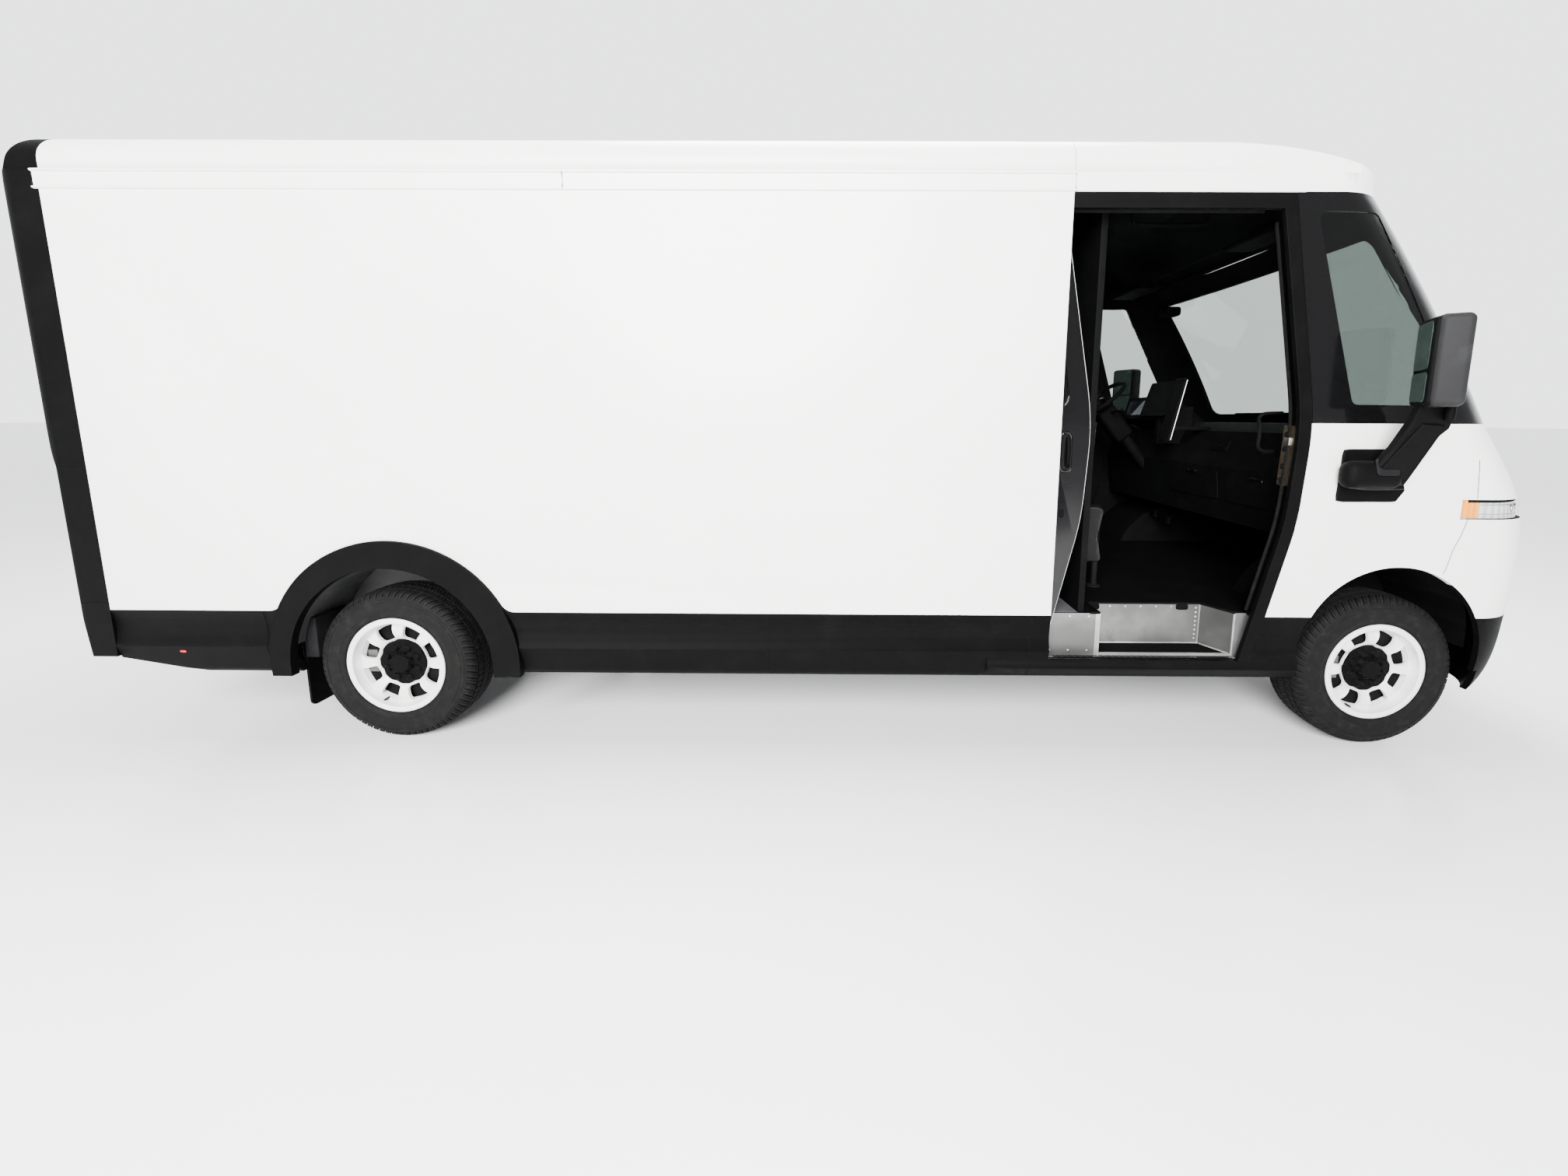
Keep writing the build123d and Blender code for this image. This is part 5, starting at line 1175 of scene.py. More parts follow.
class VAN_OT_doors(bpy.types.Operator):
    """White beads on the doors' leading edges, pull handles, label plates, inner trim, seals, strikers and
    guide rails.
    """

    bl_idname = "van.doors"
    bl_label = "Doors"

    def execute(self, context):
        p = context.scene.van_doors
        for hand, sign in SIDES:
            back = p.slid if hand == "right" else 0.0
            body = f"side_door_{hand}"
            # white bead along the door's leading edge
            edge_bead = Shell(sign)
            edge_bead.tube(front_edge(hand, 1.060) + (0.001, 0, 0), p.edge_bead, 8)
            add_piece(edge_bead, f"door_hem_{hand}", body, "white", "black_gloss")

            fit = Shell(sign)
            fit.tube(front_edge(hand, 1.040) + (0.001, 0, 0), 0.007, 8)
            x = 2.094 - back
            cup = rounded(box_corners((x - 0.026, 1.318), (x + 0.026, 1.502)), 0.025, 10)
            ring = [cup, cup, inset(cup, 0.004), inset(cup, 0.008), inset(cup, 0.010)]
            depth = (1.0655, 1.0685, 1.0695, 1.066, 1.0535)
            rings = np.stack([laid(c, 0, (0, out, 0), AHEAD, UP) for c, out in zip(ring, depth)])
            fit.grid(rings, look=1)
            grip = [
                (x + 0.012, y, z)
                for y, z in ((1.054, 1.345), (1.064, 1.375), (1.064, 1.445), (1.054, 1.475))
            ]
            fit.bent(grip, 0.0075, look=2)
            # label, lock, trim and the trim's raised field: outline, corner, thickness, place, look, bevel
            for outline, radius, thick, out, look, bevel in (
                (box_corners((x - 0.002, 1.246), (x + 0.032, 1.266)), 0.004, 0.002, 1.0675, 3, 0.0006),
                (box_corners((x - 0.016, 1.110), (x + 0.006, 1.150)), 0.008, 0.003, 1.0685, 2, 0.001),
                ([(a - back, b) for a, b in DOOR_TRIM], 0.05, 0.004, 1.0205, 4, 0.0015),
                ([(a - back, b) for a, b in DOOR_FIELD], 0.04, 0.0065, 1.0205, 4, 0.003),
            ):
                fit.panel(outline, radius, thick, (0, out, 0), AHEAD, UP, look=look, bevel=bevel)
            add_piece(fit, f"door_fittings_{hand}", body, "rubber gloss cladding frame trim", "black_gloss")

            jamb_fit = Shell(sign)
            jamb = f"door_frame_{hand}"
            face, top = (
                hit(jamb, (1.9, sign * 1.04, z)) * (1, sign, 1) - (0.0015, 0, 0) for z in (1.27, 1.50)
            )
            lean = unit(*(top - face))
            corners = box_corners((-0.068, -0.012), (0.012, 0.262))
            jamb_fit.panel(corners, 0.004, 0.004, face - (0.0025, 0, 0), LEFT, lean, bevel=0.001)
            for t in (0.012, 0.075, 0.155, 0.222):
                jamb_fit.bolts([face + lean * t + (-0.004, -0.044, 0)], BACK, 0.009, look=2)
            for t in (0.010, 0.205):
                spot = face + lean * t + (-0.006, 0.022, 0)
                jamb_fit.box(spot - (0.004, 0.014, 0.008), spot + (0.006, 0.014, 0.042), 0.003, look=1)
            hook = face + lean * 0.185 + (-0.007, -0.030, 0)
            jamb_fit.box(hook - (0.003, 0.018, 0.012), hook + (0.006, 0.014, 0.022), 0.003, look=1)
            slot = face + lean * 0.09 + (-0.0048, -0.030, 0)
            jamb_fit.panel(
                box_corners((-0.006, 0.0), (0.006, 0.045)), 0.005, 0.001, slot, LEFT, lean, look=2,
                bevel=0.0003,
            )
            # weather seal and guide rail
            z = np.linspace(0.66, 2.41, 60)
            start = np.stack([1.9 + 0 * z, sign * 1.010 + 0 * z, z], -1)
            weather = cast(jamb, start, AHEAD)[0] * (1, sign, 1)
            jamb_fit.tube(weather - (0.004, 0, 0), 0.008, 8, look=3)
            section = ((1.003, 2.450), (1.008, 2.448), (1.010, 2.452), (1.008, 2.4755), (1.002, 2.4755))
            jamb_fit.grid(swept(section, straight((1.16, 0, 0), (2.0, 0, 0), 4)), look=4)
            add_piece(
                jamb_fit, f"door_jamb_fittings_{hand}", "van", "bronze steel dark rubber frame",
                "cast_metal",
            )
        return {"FINISHED"}


class VAN_OT_steps(bpy.types.Operator):
    """Step wells: ribbed treads, nosings, bright corner trims, rivets and the mat's hanging edge."""

    bl_idname = "van.steps"
    bl_label = "Entrance steps"

    def execute(self, context):
        p = context.scene.van_doors
        t = p.tread
        for hand, sign in SIDES:
            well = Shell(sign)
            mat = ((1.412, 0.878), (1.958, 0.878), (2.022, 0.996), (1.412, 0.996))
            well.panel(mat, 0.010, 0.005, (0, 0, t + 0.0002), AHEAD, LEFT, bevel=0.002)
            # ribs on the mat, then the nosing along its edge
            for y in np.arange(0.888, 0.990, 0.011):
                well.rod((1.422, y, t + 0.0052), (1.960 + (y - 0.878) * 0.45, y, t + 0.0052), 0.0022, 6)
            nose = (
                (0.999, t - 0.001), (0.999, t + 0.006), (1.010, t + 0.006), (1.0155, t + 0.002),
                (1.0155, t - 0.022), (1.0125, t - 0.022), (1.0125, t - 0.001),
            )
            well.grid(swept(nose, straight((1.395, 0, 0), (2.040, 0, 0), 3)), look=1)
            # edge trims of the well and rivets in its walls
            flange = box_corners((1.382, t - 0.004), (1.402, 0.642))
            well.panel(flange, 0.003, 0.003, (0, 1.0150, 0), AHEAD, UP, look=1, bevel=0.001)
            well.rod((1.4035, 1.011, t), (1.4035, 1.011, 0.640), 0.0035, look=1)
            low = [
                (x, y, t + 0.004)
                for x, y in ((1.397, 1.000), (1.397, 0.873), (1.962, 0.873), (2.037, 1.000))
            ]
            well.tube(jointed(low, 6), 0.0045, 8, look=1)
            for corner in ((1.9655, 0.8725), (1.3965, 0.8725)):
                well.rod((*corner, t), (*corner, 0.638), 0.0035, look=1)
            front = ((2.043, 0.645), (2.043, t - 0.008), (2.056, t - 0.008), (2.120, 0.645))
            well.panel(front, 0.004, 0.003, (0, 1.0155, 0), AHEAD, UP, look=1, bevel=0.001)
            well.rod((2.0415, 1.012, t), (2.0415, 1.012, 0.640), 0.004, look=1)
            spots = [(1.948, 0.8715, z) for z in np.linspace(0.462, 0.622, 8)]
            well.bolts(spots, LEFT, 0.0038, look=2)
            well.bolts([(x, 0.8715, 0.628) for x in np.linspace(1.44, 1.90, 7)], LEFT, 0.0032, look=2)
            well.bolts(
                [(x, 1.0125, z) for x in (1.17, 1.26, 1.35) for z in (0.455, 0.625)], LEFT, 0.0036, look=2
            )
            # hanging edge of the cab's mat, and its two tabs
            hang = (
                (1.355, 1.014), (1.398, 1.014), (1.398, 0.866), (1.966, 0.866), (2.046, 1.0), (2.130, 1.014)
            )
            well.tube(jointed([(x, y, 0.643) for x, y in hang], 5), 0.0065, 8)
            for x0, x1 in ((1.405, 1.462), (1.845, 1.905)):
                corners = box_corners((x0, 0.612), (x1, 0.642))
                well.panel(corners, 0.009, 0.004, (0, 0.8765, 0), AHEAD, UP, bevel=0.0015, steps=5)
            add_piece(well, f"step_trim_{hand}", "van", "mat bright steel", "step_aluminium")

            sill = Shell(sign)
            for y, z, r in ((1.088, 0.430, 0.005), (1.070, 0.4335, 0.004), (1.052, 0.4335, 0.003)):
                sill.rod((1.15, y, z), (2.045, y, z), r)
            tread = box_corners((1.18, 1.024), (2.03, 1.046))
            sill.panel(tread, 0.006, 0.003, (0, 0, 0.4325), AHEAD, LEFT, look=1, bevel=0.001)
            for x in np.arange(1.20, 2.01, 0.030):
                sill.rod((x, 1.026, 0.4358), (x + 0.012, 1.044, 0.4358), 0.0015, 6, look=1, steps=2)
            add_piece(sill, f"sill_guard_{hand}", "van", "cladding gloss", "black_cladding")
        return {"FINISHED"}


# ------------------------------------------------------------------ nose
class VanFront(bpy.types.PropertyGroup):
    """Sizes of the front lamps, wipers and grille, in metres."""

    wiper: metres("Wiper", 0.62, "Length of each wiper blade")
    parked: metres("Parked", 1.592, "Height at which the wipers rest")
    slats: IntProperty(name="Slats", description="Slats of the lower grille", default=6, min=2, max=14)
    lamp_low: metres("Lamp foot", 1.118, "Bottom of the front lamp slots")
    lamp_high: metres("Lamp head", 1.207, "Top of the front lamp slots")


def nose_cast(node, out, height):
    """Points on a front panel seen from ahead, at distances from the middle and heights."""
    out, height = np.broadcast_arrays(np.asarray(out, float), np.asarray(height, float))
    start = np.stack([PAST_NOSE + 0 * out, out, height], -1)
    return cast(node, start, BACK)


class VAN_OT_front(bpy.types.Operator):
    """Lamp trims, painted shade under the lamps' brows and reflectors, turn signals, wipers, grille slats,
    blank plate and parking sensors.
    """

    bl_idname = "van.front"
    bl_label = "Nose"

    def execute(self, context):
        p = context.scene.van_front
        for hand, sign in SIDES:
            lamp = Shell()
            # look 0 lays dark lines along the top and the foot of each lamp slot; the thick one along the top
            # is painted shade under the nose's brow
            for z, r, look in (
                (p.lamp_high - 0.006, 0.0085, 0), (p.lamp_low + 0.001, 0.0018, 0), (1.182, 0.0022, 1),
                (1.140, 0.0016, 1),
            ):
                angle = np.linspace(0.03, 0.985, 60) * math.pi / 2
                way = np.stack([-np.cos(angle), -sign * np.sin(angle), 0 * angle], -1)
                middle = np.array([2.975, sign * 0.72, z])
                path = cast("lamps", middle - 1.2 * way, way)[0]
                path = path[path[:, 0] > (3.040 if look else 2.93)]
                away = (path - (2.9, sign * 0.6, z)) * (1, 1, 0)
                away /= np.linalg.norm(away, axis=1)[:, None]
                lamp.tube(path + away * 0.0005, r, 8, look=look)
            for share in np.linspace(0.12, 0.60, 5):
                angle = share * math.pi / 2
                way = np.array([-math.cos(angle), -sign * math.sin(angle), 0])
                middle = np.array([2.975, sign * 0.72, 1.163])
                spot = hit("lamps", middle - 1.2 * way, way)
                ring = spot - way * [[-0.001], [0.0025], [0.0025], [-0.001]]
                lamp.ring(ring, (0.019, 0.018, 0.0135, 0.0125), 20, look=1)
            add_piece(lamp, f"lamp_trim_and_brow_shade_{hand}", "van", "dark bright", "lamp_clear")
            signal = Shell(sign)
            low, high = p.lamp_low + 0.004, p.lamp_high - 0.003
            corners = ((2.964, low), (3.036, low), (3.036, high), (2.946, high))
            signal.panel(corners, 0.004, 0.003, (0, 1.0868, 0), AHEAD, UP, bevel=0.0006)
            for x in (2.975, 2.998, 3.021):
                signal.rod((x, 1.0882, p.lamp_low + 0.010), (x, 1.0882, p.lamp_high - 0.012), 0.0016, 6)
            add_piece(signal, f"turn_signal_{hand}", "van", "amber", "lamp_clear")

            blade = Shell()
            line, away = nose_cast(
                "windscreen_surround", sign * np.linspace(0.12, 0.12 + p.wiper, 24), p.parked
            )
            blade.tube(line + away * 0.010, 0.005, 8)
            blade.tube(line + away * 0.018 + (0, 0, 0.004), 0.006, 8, look=1)
            middle = line[len(line) // 2] + away[0] * 0.024
            pivot = hit("windscreen_surround", (PAST_NOSE, sign * 0.22, 1.570), BACK)
            arm = smooth_path((pivot + (0.012, 0, 0), (pivot + middle) / 2 + (0.02, 0, 0), middle), 8)
            blade.tube(arm, np.linspace(0.011, 0.006, len(arm)), 10, look=1)
            cap = pivot + ((-0.004, 0, 0), (0.018, 0, 0.004), (0.020, 0, 0.004))
            blade.tube(cap, (0.022, 0.019, 0.001), 20, look=1)
            add_piece(blade, f"wiper_{hand}", "van", "rubber gloss", "black_gloss")

        grille = Shell()
        for z in np.linspace(0.375, 0.560, p.slats):
            line, away = nose_cast("front_bumper", np.linspace(-0.62, 0.62, 40), z)
            grille.tube(line + away * 0.001, 0.0075, 8)
        for out in (-0.66, 0.66):
            spot, away = nose_cast("front_bumper", [out], [0.47])
            ring = spot + away * [[-0.004], [0.006], [0.007], [-0.002]]
            grille.ring(ring, (0.052, 0.050, 0.043, 0.038), 32, look=1)
            lens = spot + away * [[-0.002], [0.003], [0.0045]]
            grille.tube(lens, (0.040, 0.034, 0.002), 28, look=2)
        for out in (-0.86, -0.36, 0.36, 0.86):
            spot, away = nose_cast("front_bumper", [out], [0.605])
            dot = spot + away * [[-0.002], [0.002], [0.0025]]
            grille.tube(dot, (0.011, 0.010, 0.001), 16, look=1)
        spot = hit("nose_panel", (PAST_NOSE, 0, 0.79), BACK)
        grille.panel(
            centred(0.26, 0.056), 0.010, 0.0015, spot + (0.004, 0, 0), LEFT, UP, look=3, bevel=0.0005
        )
        path = laid(rounded(centred(0.262, 0.058), 0.012, 14), 0.005, spot, LEFT, UP)
        grille.tube(np.concatenate([path, path[:1]]), 0.003, 6, look=1)
        grille.bolts([spot + (0.0055, y, 0.0) for y in (-0.089, 0.089)], AHEAD, 0.006, look=4)
        add_piece(grille, "front_grille", "van", "gloss cladding clear white steel", "black_gloss")
        return {"FINISHED"}


# ------------------------------------------------------------------ cab
class VanCab(bpy.types.PropertyGroup):
    """Sizes of what stands in the cab, in metres."""

    rim: metres("Rim radius", 0.200, "Radius of the steering wheel's rim")
    grip: metres("Grip radius", 0.0148, "Half the thickness of the steering wheel's rim")
    lean: FloatProperty(
        name="Column lean", description="Degrees of the steering column from upright", default=39.0
    )


def stood(points, origin, across, up):
    """Points of a local frame put into space: x across, y up, z along their cross product."""
    frame_axes = np.stack([across, up, np.cross(across, up)]).astype(float)
    return np.asarray(origin, float) + points @ frame_axes


class VAN_OT_steering(bpy.types.Operator):
    """Steering wheel with a swelling grip, three spokes and a padded hub; its shroud and stalks."""

    bl_idname = "van.steering"
    bl_label = "Steering wheel"

    def execute(self, context):
        p = context.scene.van_cab
        c, s = math.cos(math.radians(p.lean)), math.sin(math.radians(p.lean))
        stand = ((2.002, 0.500, 1.685), RIGHT, (c, 0, s))
        a = np.linspace(0, TURN, 120, endpoint=False)[:, None]
        b = np.linspace(0, TURN, 16, endpoint=False)[None]
        swell = p.grip * (1 - 0.10 * np.cos(4 * a) ** 2)
        ring = p.rim + swell * np.cos(b)
        local = np.stack([ring * np.sin(a), ring * np.cos(a), swell * np.sin(b)], -1)
        wheel = Shell().grid(stood(local, *stand), along=True)
        for turn in (90, 180, 270):
            t = math.radians(turn)
            spoke = block((-0.018, 0.050, 0.016), (0.018, 0.196, 0.027), 0.005, 3)
            spoke[..., 2] -= 0.018 * eased((spoke[..., 1] - 0.10) / 0.09)
            x, y, z = np.moveaxis(spoke, -1, 0)
            spoke = np.stack([x * math.cos(t) + y * math.sin(t), y * math.cos(t) - x * math.sin(t), z], -1)
            wheel.grid(stood(spoke, *stand), look=1)
        hub = block((-0.074, -0.060, -0.050), (0.074, 0.056, 0.034), 0.030, 6)
        wheel.grid(stood(hub, *stand), look=1)
        for side in (-0.115, 0.115):
            key = block((side - 0.020, -0.016, 0.022), (side + 0.020, 0.016, 0.031), 0.004, 3)
            wheel.grid(stood(key, *stand), look=2)
        add_piece(
            wheel, "steering_wheel_trim", "hand_wheel", "trim cladding gloss", "interior_grey",
            ["steering_wheel"],
        )

        column = Shell()
        shroud = block((-0.062, -0.075, -0.330), (0.062, 0.060, -0.066), 0.030, 5)
        column.grid(stood(shroud, *stand))
        for side in (-1, 1):
            way = ((0.04, 0.0, -0.110), (0.12, 0.010, -0.105), (0.175, 0.016, -0.098), (0.215, 0.018, -0.092))
            stalk = pipe(smooth_path(np.array(way) * (side, 1, 1), 5), np.linspace(0.007, 0.0105, 16), 10)
            column.grid(stood(stalk, *stand), look=1)
        add_piece(column, "column_shroud", "van", "trim gloss", "interior_grey")
        return {"FINISHED"}


class VAN_OT_dash(bpy.types.Operator):
    """Instrument panel: screens, vents, glove boxes and pedals; handles, visors and lamp of the cab."""

    bl_idname = "van.dash"
    bl_label = "Instrument panel"

    def execute(self, context):
        piece = refined(context, "dashboard", 0.006, None, ["trim"])
        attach(piece, "van")
        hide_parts("dashboard")
        dash = Shell()
        up = unit(0.2, 0, 0.98)
        face = np.array([-up[2], 0, up[0]])
        # upright screen on its bracket
        foot = np.array([2.190, -0.052, 1.420])
        half, high = 0.055, 0.395
        dash.panel(box_corners((-half, 0), (half, high)), 0.012, 0.014, foot, RIGHT, up, bevel=0.003, steps=8)
        corners = box_corners((0.008 - half, 0.010), (half - 0.008, high - 0.010))
        dash.panel(corners, 0.006, 0.0012, foot + face * 0.0070, RIGHT, up, look=3, bevel=0.0004)
        side = foot + np.array([0, -half - 0.0008, 0])
        dash.rod(side + up * 0.012, side + up * (high - 0.012), 0.0016, look=2)
        dash.box((2.205, -0.078, 1.490), (2.452, -0.030, 1.515), 0.006)
        # screen under the hood, vents with fins, glove boxes, pedals
        hood = hit("dashboard", (1.9, 0.50, 1.640)) - (0.001, 0, 0)
        corners = box_corners((-0.150, -0.055), (0.150, 0.050))
        dash.panel(corners, 0.012, 0.003, hood, RIGHT, unit(0.04, 0, 0.152), look=3, bevel=0.0008)
        for y in (-0.80, -0.28, 0.22, 0.80):
            vent, lift = hit("dashboard", (1.9, y, 1.410)), unit(0.08, 0, 0.20)
            dash.panel(centred(0.075, 0.038), 0.012, 0.006, vent, RIGHT, lift)
            for k in np.linspace(-0.026, 0.026, 5):
                centre = vent + lift * k - (0.007, 0, 0)
                dash.rod(centre - (0, 0.064, 0), centre + (0, 0.064, 0), 0.0026, 6)
        for y0, y1 in ((-0.90, -0.40), (-0.34, 0.14)):
            door, lift = hit("dashboard", (1.9, (y0 + y1) / 2, 1.180)), unit(-0.04, 0, 0.31)
            dash.panel(centred((y1 - y0) / 2, 0.085), 0.018, 0.006, door, RIGHT, lift, bevel=0.003)
            dash.panel(box_corners((-0.05, 0.052), (0.05, 0.072)), 0.006, 0.010, door, RIGHT, lift, look=1)
        for y, wide, z in ((0.585, 0.040, 0.86), (0.430, 0.055, 0.84)):
            dash.box((2.50, y - wide, z - 0.030), (2.525, y + wide, z + 0.030), 0.008, 4)
            for k in np.linspace(-0.018, 0.018, 4):
                dash.rod((2.4985, y - wide * 0.8, z + k), (2.4985, y + wide * 0.8, z + k), 0.003, 6, look=1)
            arm = ((2.520, y, z), (2.58, y, z + 0.05), (2.62, y, z + 0.16), (2.63, y, z + 0.22))
            dash.bent(arm, 0.010, 8)
        add_piece(dash, "dash_details", "van", "trim gloss steel screen", "interior_grey")

        roof = Shell()
        # grab handle, overhead rails with visors, camera pod, header joint and roof lamp
        grab = (
            (2.176, -0.853, 1.560), (2.185, -0.853, 1.535), (2.188, -0.855, 1.480), (2.185, -0.856, 1.430),
            (2.215, -0.856, 1.405), (2.262, -0.856, 1.405),
        )
        roof.bent(grab, 0.009, 12, steps=8)
        top = ((2.176, -0.853, 1.560), (2.200, -0.853, 1.585), (2.29, -0.853, 1.590))
        roof.bent(top, 0.009, 12)
        for y in (-0.62, 0.62):
            rail = ((1.62, 2.60), (1.62, 2.545), (1.66, 2.525), (1.95, 2.525), (1.99, 2.545), (1.99, 2.60))
            roof.bent([(x, y, z) for x, z in rail], 0.012)
            roof.box((2.20, y - 0.20, 2.448), (2.36, y + 0.20, 2.472), 0.011, 4)
        roof.box((2.520, 0.640, 2.305), (2.634, 0.740, 2.372), 0.020, 4)
        across = np.linspace(-0.90, 0.90, 40)
        header = np.stack([1.9 + 0 * across, across, 2.509 + 0 * across], -1)
        roof.tube(cast("cab_roof", header, AHEAD)[0] - (0.002, 0, 0.004), 0.007, 8)
        roof.box((1.60, -0.115, 2.610), (1.72, 0.115, 2.640), 0.014, 4, look=2)
        roof.box((1.585, -0.130, 2.625), (1.735, 0.130, 2.665), 0.010)
        add_piece(roof, "cab_handles", "van", "trim gloss clear", "interior_grey")
        return {"FINISHED"}


class VAN_OT_bulkhead(bpy.types.Operator):
    """Ribs, sliding door, window, pull and rails of the bulkhead."""

    bl_idname = "van.bulkhead"
    bl_label = "Bulkhead"

    def execute(self, context):
        wall = Shell()
        for y in (-0.86, -0.42, 0.42, 0.86):
            wall.box((1.325, y - 0.028, 0.70), (1.347, y + 0.028, 2.36), 0.008)
        door, window = box_corners(
            (-0.355, 0.665), (0.355, 2.330)
        ), box_corners((-0.200, 1.560), (0.200, 2.120))
        wall.panel(door, 0.020, 0.010, (1.332, 0, 0), LEFT, UP, bevel=0.004)
        wall.panel(window, 0.040, 0.006, (1.341, 0, 0), LEFT, UP, look=1)
        pull = ((1.342, 0.290, 1.22), (1.380, 0.290, 1.235), (1.380, 0.290, 1.395), (1.342, 0.290, 1.41))
        wall.bent(pull, 0.009, look=2)
        for z in (0.655, 2.350):
            wall.box((1.330, -0.93, z - 0.012), (1.356, 0.93, z + 0.012), 0.004, look=2)
        add_piece(wall, "bulkhead_details", "van", "trim gloss frame", "interior_grey")
        return {"FINISHED"}


# ------------------------------------------------------------------ seats
class VanSeats(bpy.types.PropertyGroup):
    """Shape of the padded pieces."""

    puff: metres("Puff", 0.024, "Farthest that the cloth may swell", 0.0, 0.05)
    voxel: metres("Voxel", 0.0075, "Size of the remeshed cloth's facets", 0.003, 0.02)
    pressure: FloatProperty(name="Pressure", description="Air pressure inside the cushions", default=4.0)
    frames: IntProperty(name="Frames", description="Steps of the cloth simulation", default=20, min=2)


def puffed(context, shell, name, p):
    """Cushion swollen by a cloth simulation: remeshed, blown up, held within the puff, and made smooth."""
    piece = shell.build(name, "cloth")
    context.view_layer.objects.active = piece
    remesh = piece.modifiers.new("remesh", "REMESH")
    remesh.mode, remesh.voxel_size, remesh.use_smooth_shade = "VOXEL", p.voxel, True
    piece.data = baked(context, piece)
    piece.modifiers.clear()
    rest = np.empty(len(piece.data.vertices) * 3, np.float32)
    piece.data.vertices.foreach_get("co", rest)
    cloth = piece.modifiers.new("cloth", "CLOTH")
    cloth.settings.quality = 5
    cloth.settings.use_pressure, cloth.settings.uniform_pressure_force = True, p.pressure
    cloth.settings.effector_weights.gravity = 0
    cloth.point_cache.frame_start, cloth.point_cache.frame_end = 1, p.frames
    for number in range(1, p.frames + 1):
        context.scene.frame_set(number)
    blown = bpy.data.meshes.new_from_object(piece.evaluated_get(context.evaluated_depsgraph_get()))
    moved = np.empty(len(blown.vertices) * 3, np.float32)
    blown.vertices.foreach_get("co", moved)
    piece.modifiers.clear()
    context.scene.frame_set(1)
    step = (moved - rest).reshape(-1, 3)
    size = np.linalg.norm(step, axis=1)[:, None]
    step *= np.minimum(1, p.puff / np.maximum(size, 1e-9))
    blown.vertices.foreach_set("co", (rest.reshape(-1, 3) + step).astype(np.float32).ravel())
    piece.data = blown
    finer = piece.modifiers.new("finer", "SUBSURF")
    finer.levels = finer.render_levels = 1
    blown.materials.clear()
    blown.materials.append(LOOKS["cloth"])
    blown.polygons.foreach_set("use_smooth", np.ones(len(blown.polygons), bool))
    return piece


def cushion(low, high, radius, crown, pull, axis):
    """Pad: a block with its broad faces crowned along an axis and its sides pulled in between corners."""
    pad = block(low, high, radius, 8)
    middle, half = (np.asarray(low) + high) / 2, (np.asarray(high, float) - low) / 2
    u = (pad - middle) / half
    others = [k for k in range(3) if k != axis]
    bowl = (1 - u[..., others[0]] ** 2) * (1 - u[..., others[1]] ** 2)
    pad[..., axis] += np.sign(u[..., axis]) * crown * bowl
    for k, other in (others, others[::-1]):
        pad[..., k] -= np.sign(u[..., k]) * pull * (1 - u[..., other] ** 2) * np.abs(u[..., k])
    return pad


def leaned(points, foot, share):
    """Points stood on a foot, leaning back by a share of their height."""
    return points + np.asarray(foot) - share * points[..., 2:] * (1, 0, 0)


